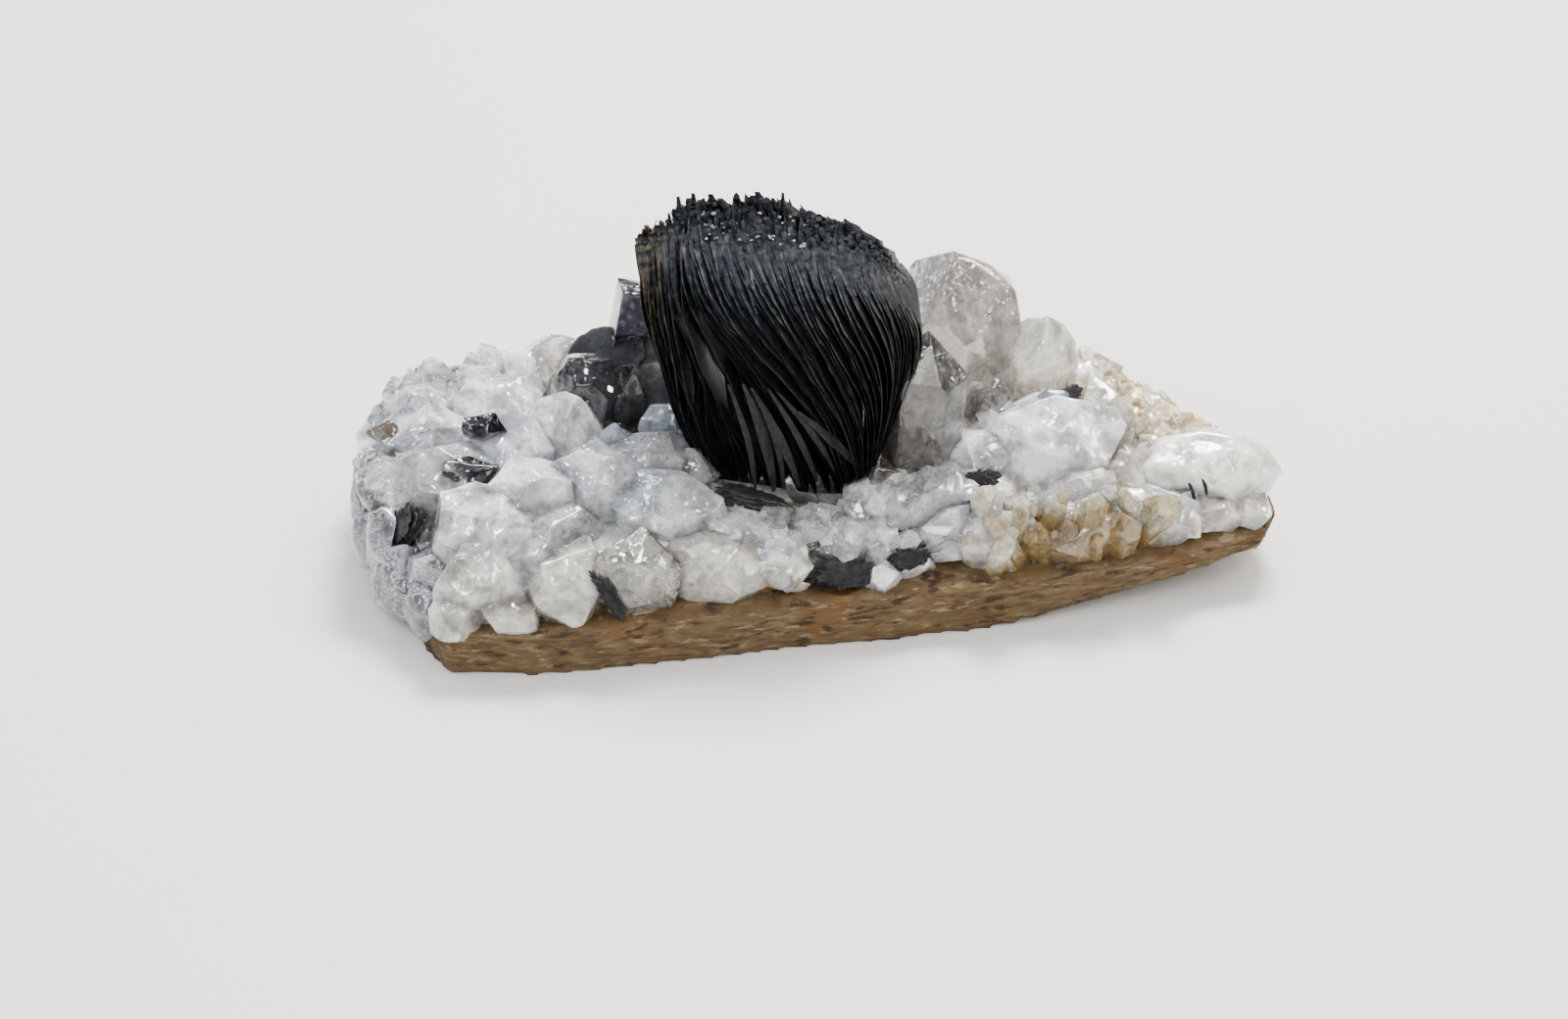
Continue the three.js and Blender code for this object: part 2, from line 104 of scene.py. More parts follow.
def evaluated(obj):
    """Applies the object's modifiers by taking its evaluated mesh."""
    graph = bpy.context.evaluated_depsgraph_get()
    mesh = bpy.data.meshes.new_from_object(obj.evaluated_get(graph))
    obj.modifiers.clear()
    obj.data = mesh
    return obj


def read(items, field, width):
    values = np.empty(len(items) * width)
    items.foreach_get(field, values)
    return values.reshape(-1, width) if width > 1 else values


def set_coordinates(mesh, values):
    mesh.vertices.foreach_set("co", np.asarray(values).ravel())
    mesh.update()


def set_attribute(mesh, name, values):
    layer = mesh.attributes.new(name, "FLOAT", "POINT")
    layer.data.foreach_set("value", np.asarray(values, np.float32))


def set_colour(mesh, name, values):
    layer = mesh.attributes.new(name, "FLOAT_COLOR", "POINT")
    filled = np.column_stack((values, np.ones(len(values))))
    layer.data.foreach_set("color", filled.astype(np.float32).ravel())


def set_smooth(mesh, smooth=True):
    mesh.polygons.foreach_set("use_smooth", [smooth] * len(mesh.polygons))


def dress(mesh, *materials):
    mesh.materials.clear()
    for material in materials:
        mesh.materials.append(material)


def bevelled(obj, width, segments=3):
    """The object with a modifier that wears its edges round, width millimetres wide."""
    bevel = obj.modifiers.new("worn", "BEVEL")
    bevel.width = width * MM
    bevel.segments = segments
    bevel.limit_method = "NONE"
    return obj


def remeshed(obj, grain):
    """The object as one even mesh with cells of grain millimetres."""
    remesh = obj.modifiers.new("remesh", "REMESH")
    remesh.mode = "VOXEL"
    remesh.voxel_size = grain * MM
    return evaluated(obj)


def waves(points, size, rough, octaves):
    """How high uneven waves of about size millimetres are at each point, in metres."""
    return np.array([noise.fractal(Vector(p) / (size * MM), rough, 2.0, octaves) for p in points])


def lift(mesh, heights):
    """Moves each point out along its normal by its height in metres."""
    points = read(mesh.vertices, "co", 3)
    normals = read(mesh.vertices, "normal", 3)
    set_coordinates(mesh, points + normals * heights[:, None])


def boolean(target, cutter, operation):
    cut = target.modifiers.new("cut", "BOOLEAN")
    cut.operation = operation
    cut.solver = "MANIFOLD"
    cut.object = cutter
    evaluated(target)
    bpy.data.objects.remove(cutter)


def united(bodies):
    """One solid from many that overlap, joined pair by pair."""
    while len(bodies) > 1:
        joined = []
        for first, second in zip(bodies[::2], bodies[1::2]):
            boolean(first, second, "UNION")
            joined.append(first)
        bodies = joined + bodies[2 * len(joined):]
    return bodies[0]


def hull(name, points):
    """The convex skin round some points."""
    work = bmesh.new()
    for point in points:
        work.verts.new(point)
    made = bmesh.ops.convex_hull(work, input=work.verts)
    inner = {v for v in made["geom_interior"] + made["geom_unused"] if isinstance(v, bmesh.types.BMVert)}
    bmesh.ops.delete(work, geom=list(inner), context="VERTS")
    mesh = bpy.data.meshes.new(name)
    work.to_mesh(mesh)
    work.free()
    return link(name, mesh)


def copied(node):
    """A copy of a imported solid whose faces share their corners."""
    made = link(node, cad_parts[node].data.copy())
    made.modifiers.new("weld", "WELD").merge_threshold = 0.002 * MM
    return evaluated(made)


def box(name, low, high):
    corners = [Vector(corner) * MM for corner in itertools.product(*zip(low, high))]
    return hull(name, corners)


def placing(at, turn):
    """A place and a turn in degrees, about X, then Y, then Z of the turned body."""
    angles = [math.radians(angle) for angle in turn]
    turned = (
        Matrix.Rotation(angles[0], 4, "X")
        @ Matrix.Rotation(angles[1], 4, "Y")
        @ Matrix.Rotation(angles[2], 4, "Z")
    )
    return Matrix.Translation(Vector(at)) @ turned


def moved(points, matrix):
    rotation = np.array(matrix.to_3x3())
    return points @ rotation.T + np.array(matrix.translation)


def convex_body(normals, distances):
    """Corners and faces of the convex body that lies behind every plane."""
    normals = np.array(normals, float)
    distances = np.array(distances, float)
    lengths = np.linalg.norm(normals, axis=1)
    normals /= lengths[:, None]
    distances /= lengths
    triples = np.array(list(itertools.combinations(range(len(normals)), 3)))
    systems = normals[triples]
    solvable = np.abs(np.linalg.det(systems)) > 1e-6
    systems = systems[solvable]
    targets = distances[triples[solvable]]
    corners = np.linalg.solve(systems, targets[..., None])[..., 0]
    inside = (corners @ normals.T <= distances + 1e-6).all(axis=1)
    corners = np.unique(np.round(corners[inside], 6), axis=0)
    faces = []
    for normal, distance in zip(normals, distances):
        on = np.flatnonzero(np.abs(corners @ normal - distance) < 2e-5)
        if len(on) < 3:
            continue
        middle = corners[on].mean(axis=0)
        side = corners[on[0]] - middle
        up = np.cross(normal, side)
        offsets = corners[on] - middle
        angles = np.arctan2(offsets @ up, offsets @ side)
        faces.append([int(i) for i in on[np.argsort(angles)]])
    return corners, faces


def crystal_body(radius, length, seed, ends=6, sharp=False):
    """The model's quartz crystal: a six-sided prism, root at the origin, whose end faces are
    uneven or meet in one sharp point."""
    random = random_stream(seed)
    lean = math.radians(51.8)
    normals = [(0, 0, -1)]
    distances = [0]
    for i in range(6):
        around = i * math.pi / 3
        side = (math.cos(around), math.sin(around))
        normals.append((*side, 0))
        distances.append(radius * (0.84 + 0.16 * random()))
        fall = 0.9 + (i % 2) * 0.35 + 0.3 * random()
        shoulder = length - radius * (math.tan(lean) if sharp else fall)
        if ends == 3 and i % 2 == 1:
            continue
        normals.append((side[0] * math.sin(lean), side[1] * math.sin(lean), math.cos(lean)))
        distances.append(math.sin(lean) * radius + math.cos(lean) * shoulder)
    return convex_body(normals, distances)


# How deep the faces of a lump may cut into its ball, evenly or unevenly
EVEN_CUT = 0.84
DEEP_CUT = 0.72


def lump_body(radii, seed, faces, deepest=EVEN_CUT):
    """The model's broken lump: a ball cut by flat faces spread evenly over it, then stretched.
    The deeper some faces may cut, the more they differ in size."""
    random = random_stream(seed)
    start = random() * TAU
    normals = []
    distances = []
    for i in range(faces):
        z = 1 - (2 * (i + 0.5)) / faces + (random() - 0.5) * 0.2
        around = start + i * GOLDEN_TURN + (random() - 0.5) * 0.5
        flat = math.sqrt(max(0, 1 - z * z))
        normals.append((flat * math.cos(around), flat * math.sin(around), z))
        distances.append(deepest + (0.98 - deepest) * random())
    corners, sides = convex_body(normals, distances)
    return corners * np.array(radii), sides


class Pile:
    """Collects many small closed bodies into one mesh, each with its own tint and clearness."""

    def __init__(self):
        self.points = []
        self.faces = []
        self.tints = []
        self.clear = []
        self.rims = []

    def add(self, points, faces, tint=(0.5, 0.5, 0.5), clear=0.5, rim=0.0):
        first = len(self.points)
        self.points.extend(points)
        self.faces.extend([tuple(first + i for i in face) for face in faces])
        self.tints.extend([tint] * len(points))
        self.clear.extend([clear] * len(points))
        self.rims.extend(np.broadcast_to(rim, len(points)))

    def build(self, name, smooth=False):
        mesh = mesh_of(name, np.array(self.points) * MM, self.faces)
        set_colour(mesh, "tint", np.array(self.tints))
        set_attribute(mesh, "clear", self.clear)
        set_attribute(mesh, "rim", self.rims)
        set_smooth(mesh, smooth)
        return link(name, mesh)


def spots(points, places):
    """How strongly each point, in metres, lies in one of the places: middle, radius, strength."""
    total = np.zeros(len(points))
    for at, radius, strength in places:
        away = np.linalg.norm(points / MM - np.array(at), axis=1) / radius
        total = np.maximum(total, strength * np.clip(1.35 - away, 0, 1))
    return total


# Shader graphs


class Graph:
    """A short way to write the nodes of a material or of the world."""

    def __init__(self, owner, coordinates="Object"):
        owner.use_nodes = True
        self.tree = owner.node_tree
        self.place = self.node("TexCoord", coordinates)

    def feed(self, socket, value):
        if isinstance(value, bpy.types.NodeSocket):
            self.tree.links.new(value, socket)
        else:
            socket.default_value = value

    def node(self, kind, output, inputs=(), **settings):
        """Adds a node with these inputs and settings, and gives one of its outputs."""
        made = self.tree.nodes.new("ShaderNode" + kind)
        for name, value in settings.items():
            setattr(made, name, value)
        for socket, value in dict(inputs).items():
            self.feed(made.inputs[socket], value)
        return made.outputs[output]

    def set(self, **inputs):
        shader = self.tree.nodes["Principled BSDF"]
        for name, value in inputs.items():
            self.feed(shader.inputs[name.replace("_", " ")], value)

    def math(self, operation, a, b=0.0, c=0.0, clamp=False):
        return self.node("Math", 0, {0: a, 1: b, 2: c}, operation=operation, use_clamp=clamp)

    def attribute(self, name, output="Fac"):
        return self.node("Attribute", output, attribute_name=name)

    def stretched(self, scale):
        return self.node("Mapping", "Vector", {"Vector": self.place, "Scale": scale})

    def noise(self, size, detail=4, roughness=0.55, distortion=0.0, vector=None):
        """Noise whose lumps are about size millimetres across, from 0 to 1."""
        inputs = {
            "Vector": vector or self.place,
            "Scale": 1 / (size * MM),
            "Detail": detail,
            "Roughness": roughness,
            "Distortion": distortion,
        }
        return self.node("TexNoise", "Fac", inputs)

    def vector(self, operation, output, a, b):
        return self.node("VectorMath", output, {0: a, 1: b}, operation=operation)

    def facets(self, size):
        """The height of a broken surface of small flat faces, each tilted its own way."""
        tone = self.node("TexVoronoi", "Color", {"Vector": self.place, "Scale": 1 / (size * MM)})
        tilt = self.vector("SUBTRACT", "Vector", tone, (0.5, 0.5, 0.5))
        away = self.vector("SUBTRACT", "Vector", self.place, tone.node.outputs["Position"])
        return self.math("DIVIDE", self.vector("DOT_PRODUCT", "Value", tilt, away), size * MM)

    def ramp(self, value, *stops):
        """Maps a value to colours or greys at the given places."""
        tone = self.node("ValToRGB", "Color", {0: value})
        elements = tone.node.color_ramp.elements
        while len(elements) < len(stops):
            elements.new(0.5)
        for element, (position, colour) in zip(elements, stops):
            element.position = position
            grey = isinstance(colour, (int, float))
            element.color = (colour, colour, colour, 1) if grey else (*colour, 1)
        return tone

    def mix(self, share, a, b, blend="MIX"):
        a, b = (v if isinstance(v, bpy.types.NodeSocket) else (*v, 1) for v in (a, b))
        return self.node("Mix", 2, {"Factor": share, 6: a, 7: b}, data_type="RGBA", blend_type=blend)

    def bump(self, height, strength, distance, below=None):
        inputs = {"Strength": strength, "Distance": distance * MM, "Height": height}
        if below:
            inputs["Normal"] = below
        return self.node("Bump", "Normal", inputs)


def rock_material():
    """Brown-beige schist-like rock: streaks along the bedding, dark flecks and rust."""
    material = bpy.data.materials.new("rock")
    g = Graph(material)
    bedding = g.stretched((0.22, 0.22, 1.0))
    streaks = g.noise(0.55, detail=8, roughness=0.72, distortion=0.4, vector=bedding)
    base = g.ramp(
        streaks,
        (0.3, (0.05, 0.026, 0.012)),
        (0.44, (0.088, 0.053, 0.024)),
        (0.56, (0.136, 0.092, 0.042)),
        (0.72, (0.235, 0.178, 0.1)),
    )
    rust = g.ramp(g.noise(5, detail=3), (0.52, 0.0), (0.68, 0.75))
    base = g.mix(rust, base, (0.13, 0.062, 0.02))
    flecks = g.ramp(g.noise(0.4, detail=3, vector=g.stretched((0.2, 0.2, 1))), (0.6, 0.0), (0.7, 0.55))
    base = g.mix(flecks, base, (0.34, 0.28, 0.185))
    dark = g.ramp(g.noise(0.7, detail=4, vector=g.stretched((0.3, 0.3, 1.2))), (0.57, 0.0), (0.65, 1.0))
    base = g.mix(dark, base, (0.04, 0.02, 0.01))
    g.set(Base_Color=base, Roughness=0.82, Specular_IOR_Level=0.3)
    rough = g.bump(streaks, 0.9, 0.35)
    g.set(Normal=g.bump(g.noise(0.25, detail=4), 0.6, 0.12, below=rough))
    return material


def rusted(g, colour):
    """The colour with rust from the rock over it, and how strong the rust is."""
    grain = g.noise(0.7, detail=5, roughness=0.7)
    edge = g.math("MULTIPLY_ADD", g.attribute("stain"), 1.7, -0.5)
    stain = g.ramp(g.math("ADD", edge, grain, clamp=True), (0.54, 0.0), (0.8, 0.88))
    rusty = g.ramp(grain, (0.35, (0.08, 0.04, 0.012)), (0.65, (0.38, 0.23, 0.05)))
    return g.mix(stain, colour, rusty), stain


def veils_inside(g):
    """How white the veils inside quartz are, from 0 to 1: thin curved sheets, patchy."""
    wisps = g.noise(1.3, detail=5, roughness=0.62, distortion=2.2)
    veils = g.ramp(wisps, (0.5, 0.0), (0.54, 1.0), (0.58, 0.0))
    return g.math("MULTIPLY", veils, g.ramp(g.noise(3.2, detail=2), (0.4, 0.15), (0.56, 1.0)))


# How quartz shines, cloudy and see-through, with sizes and depths in millimetres.
# gloss: size of its patches, least and most roughness. glow: how much light scatters inside.
# dents: size, how rough, strength, depth. chips: size and depth of small flat faces.
# sparkle: size of its patches, where they start, how faint it is between them, size and
# depth of its faces.
CLOUDY_SKIN = dict(
    gloss=(1.4, 0.04, 0.2),
    glow=0.5,
    dents=(1.6, 0.5, 0.4, 0.2),
    chips=(0.9, 0.2),
    sparkle=(3.0, 0.42, 0.15, 0.4, 0.24),
)
CLEAR_SKIN = dict(
    gloss=(1.2, 0.02, 0.12),
    glow=0.4,
    dents=(1.4, 0.55, 0.35, 0.12),
    chips=(1.0, 0.3),
    sparkle=(2.4, 0.44, 0.1, 0.5, 0.45),
)
COAT_ROUGHNESS = 0.02
SCATTER_DEPTH = 0.7
DARKEST = 0.8  # the tint's share in the clearer parts of cloudy quartz
# The flecks of cloudy quartz are its white veils and the painted glints
VEIL_AND_GLINT_WHITENESS = 0.7  # how white the flecks of cloudy quartz are
CLOUDY_BROKEN = 0.12
STAIN_COVER = 0.65  # how far rust hides what lies behind see-through quartz


def quartz_skin(g, colour, transmission, broken, gloss, glow, dents, chips, sparkle):
    """A dented surface under a bright coat that small flat faces break up, as far as broken
    says, over quartz of a colour that lets light through by transmission."""
    size, least, most = gloss
    g.set(
        Base_Color=colour,
        Roughness=g.ramp(g.noise(size, detail=2), (0.35, least), (0.65, most)),
        IOR=QUARTZ_IOR,
        Transmission_Weight=transmission,
        Subsurface_Weight=glow,
        Subsurface_Radius=(1.0, 0.97, 0.93),
        Subsurface_Scale=SCATTER_DEPTH * MM,
        Coat_Weight=1.0,
        Coat_Roughness=COAT_ROUGHNESS,
    )
    size, rough, strength, depth = dents
    surface = g.bump(g.noise(size, roughness=rough), strength, depth)
    size, depth = chips
    surface = g.bump(g.facets(size), broken, depth, below=surface)
    size, edge, faintest, face, depth = sparkle
    patchy = g.ramp(g.noise(size, detail=1), (edge, faintest), (0.56, 1.0))
    glints = g.math("MULTIPLY", g.facets(face), patchy)
    g.set(Normal=surface, Coat_Normal=g.bump(glints, 1.0, depth, below=surface))


def cloudy_material():
    """Quartz that clouds and veils fill in part, with white specks painted on as glints: its tint
    and clearness change from one crystal to the next, and rust stains it from the rock."""
    material = bpy.data.materials.new("cloudy_quartz")
    g = Graph(material)
    clouds = g.noise(3.0, detail=6, roughness=0.6, distortion=0.7)
    shade = g.ramp(clouds, (0.4, DARKEST), (0.57, 1.0))
    colour = g.mix(1.0, g.attribute("tint", "Color"), shade, blend="MULTIPLY")
    # Painted glints: sparse white specks in the colour, whitened like the veils and made less clear
    painted_glints = g.ramp(g.noise(0.36, detail=2), (0.66, 0.0), (0.7, 1.0))
    flecks = g.math("MAXIMUM", veils_inside(g), painted_glints)
    colour = g.mix(g.math("MULTIPLY", flecks, VEIL_AND_GLINT_WHITENESS), colour, (0.96, 0.97, 0.98))
    colour, stain = rusted(g, colour)
    clear = g.math("MULTIPLY", g.attribute("clear"), g.ramp(clouds, (0.4, 1.0), (0.58, 0.4)))
    clear = g.math("MULTIPLY", clear, g.math("MULTIPLY_ADD", flecks, -0.7, 1.0))
    clear = g.math("MULTIPLY", clear, g.math("MULTIPLY_ADD", stain, -0.6, 1.0), clamp=True)
    quartz_skin(g, colour, clear, CLOUDY_BROKEN, **CLOUDY_SKIN)
    return material


def clear_material(look):
    """See-through quartz of one of the looks in GLASS."""
    _, passed, density, veiled, clouded, broken = GLASS[look]
    material = bpy.data.materials.new(look + "_quartz")
    g = Graph(material)
    white = g.math("MULTIPLY", veils_inside(g), veiled)
    clouds = g.ramp(g.noise(2.6, detail=5, roughness=0.6), (0.4, 0.4), (0.58, 1.0))
    white = g.math("MAXIMUM", white, g.math("MULTIPLY", clouds, clouded))
    mottles = g.ramp(g.noise(0.55, detail=3, roughness=0.6), (0.42, 0.55), (0.56, 1.0))
    colour = g.mix(veiled, g.attribute("tint", "Color"), mottles, blend="MULTIPLY")
    colour, stain = rusted(g, colour)
    hidden = g.math("MAXIMUM", white, g.math("MULTIPLY", stain, STAIN_COVER))
    clear = g.math("SUBTRACT", 1.0, hidden, clamp=True)
    quartz_skin(g, colour, clear, broken, **CLEAR_SKIN)
    absorption = g.node("VolumeAbsorption", "Volume", {"Color": (*passed, 1), "Density": density})
    g.feed(g.tree.nodes["Material Output"].inputs["Volume"], absorption)
    return material


# Hematite: two body colours, roughness of its rims, how strongly it mirrors
GLOSSY = ((0.007, 0.007, 0.008), (0.022, 0.023, 0.026), 0.28, 0.15)
DUSTY = ((0.004, 0.005, 0.007), (0.024, 0.028, 0.035), 0.6, 0.05)
FACE_ROUGHER = 0.2  # how much rougher its faces are than its rims
# The paler colour of the painted highlight on rims
RIM_HIGHLIGHT_COLOUR = (0.11, 0.107, 0.1)
BRONZE_COLOUR = (0.12, 0.1, 0.06)
HEMATITE_IOR = 1.5


def hematite_material(name, darker, lighter, roughness, specular):
    """Hematite between two body colours, with a painted highlight on its rims and bronze where they are
    marked.
    """
    material = bpy.data.materials.new(name)
    g = Graph(material)
    # rim: the painted highlight on blade and plate rims, pale and less rough
    rim = g.math("MULTIPLY", g.attribute("rim"), g.ramp(g.noise(1.2), (0.4, 0.1), (0.62, 1.0)))
    bronze = g.math("MULTIPLY", g.attribute("bronze"), g.ramp(g.noise(0.7), (0.45, 0.0), (0.6, 1.0)))
    colour = g.ramp(g.noise(0.6, detail=5, roughness=0.7), (0.38, darker), (0.62, lighter))
    colour = g.mix(rim, colour, RIM_HIGHLIGHT_COLOUR)
    colour = g.mix(bronze, colour, BRONZE_COLOUR)
    g.set(
        Base_Color=colour,
        Metallic=g.math("MULTIPLY", bronze, 0.4),
        Roughness=g.ramp(rim, (0.0, roughness + FACE_ROUGHER), (0.4, roughness)),
        IOR=HEMATITE_IOR,
        Specular_IOR_Level=specular,
    )
    grain = g.noise(0.35, detail=4, vector=g.stretched((1, 1, 0.25)))
    g.set(Normal=g.bump(grain, 0.25, 0.06))
    return material


# The slab of rock


ROCK_GRAIN = 0.42
BEDDING = (4.5, 4.5, 0.8)  # how long, deep and thick the beds that stand out are
ROCK_RELIEF = 0.28


def rock_piece(material):
    """The slab, remeshed finely and roughened along its bedding."""
    made = copied("rock_slab")
    made.name = "rock"
    mesh = remeshed(made, ROCK_GRAIN).data
    heights = []
    for point, normal in zip(read(mesh.vertices, "co", 3), read(mesh.vertices, "normal", 3)):
        steep = math.sqrt(max(0.0, 1 - normal[2] ** 2))
        bed = Vector([along / (size * MM) for along, size in zip(point, BEDDING)])
        heights.append(steep * noise.fractal(bed, 0.8, 2.1, 4) * ROCK_RELIEF * MM)
    lift(mesh, np.array(heights))
    set_smooth(mesh)
    dress(mesh, material)
    return made


# The crust of cloudy quartz

# Tint and clearness of the cloudy looks
CLOUDY = {
    "milky": ((0.84, 0.86, 0.89), 0.60),
    "warm": ((0.88, 0.83, 0.68), 0.56),
    "grey": ((0.70, 0.70, 0.74), 0.72),
    "sandy": ((0.74, 0.57, 0.32), 0.4),
    # shaded: grey shards on the crust's left side, their tint darkened further as painted shade
    "shaded": ((0.25, 0.25, 0.28), 0.60),
    "pearl": ((0.94, 0.90, 0.83), 0.46),
}

# The see-through looks: tint, colour that passes, density per metre, how far white veils and
# wide clouds hide what lies behind, how far small flat faces break the surface up
GLASS = {
    "glassy": ((0.94, 0.95, 0.97), (0.90, 0.92, 0.95), 20, 0.6, 0.4, 0.2),
    "frosty": ((0.93, 0.94, 0.96), (0.90, 0.93, 0.97), 20, 0.55, 0.8, 0.2),
    "icy": ((0.85, 0.89, 0.95), (0.68, 0.77, 0.90), 45, 0.5, 0.66, 0.18),
    "snowy": ((0.98, 0.985, 1.0), (0.92, 0.94, 0.98), 20, 0.4, 0.85, 0.4),
    "creamy": ((0.97, 0.93, 0.85), (0.95, 0.88, 0.74), 30, 0.55, 0.62, 0.26),
    "misty": ((0.74, 0.71, 0.67), (0.70, 0.64, 0.58), 80, 0.45, 0.4, 0.05),
    "honey": ((0.96, 0.84, 0.56), (0.85, 0.50, 0.12), 150, 0.25, 0.1, 0.12),
    "sparkling": ((0.97, 0.95, 0.88), (0.80, 0.68, 0.44), 70, 0.8, 0.15, 0.6),
    "smoke": ((0.72, 0.70, 0.66), (0.42, 0.36, 0.28), 130, 0.3, 0.05, 0.05),
    "bluish": ((0.72, 0.78, 0.88), (0.30, 0.46, 0.68), 140, 0.35, 0.3, 0.12),
    "block": ((0.13, 0.125, 0.16), (0.42, 0.40, 0.46), 1000, 0.3, 0.25, 0.1),
    "dome": ((0.16, 0.165, 0.185), (0.38, 0.34, 0.32), 450, 0.3, 0.15, 0.04),
    "brown": ((0.20, 0.15, 0.11), (0.50, 0.30, 0.12), 500, 0.15, 0.0, 0.1),
    "dark": ((0.10, 0.10, 0.13), (0.30, 0.30, 0.36), 800, 0.1, 0.0, 0.1),
}

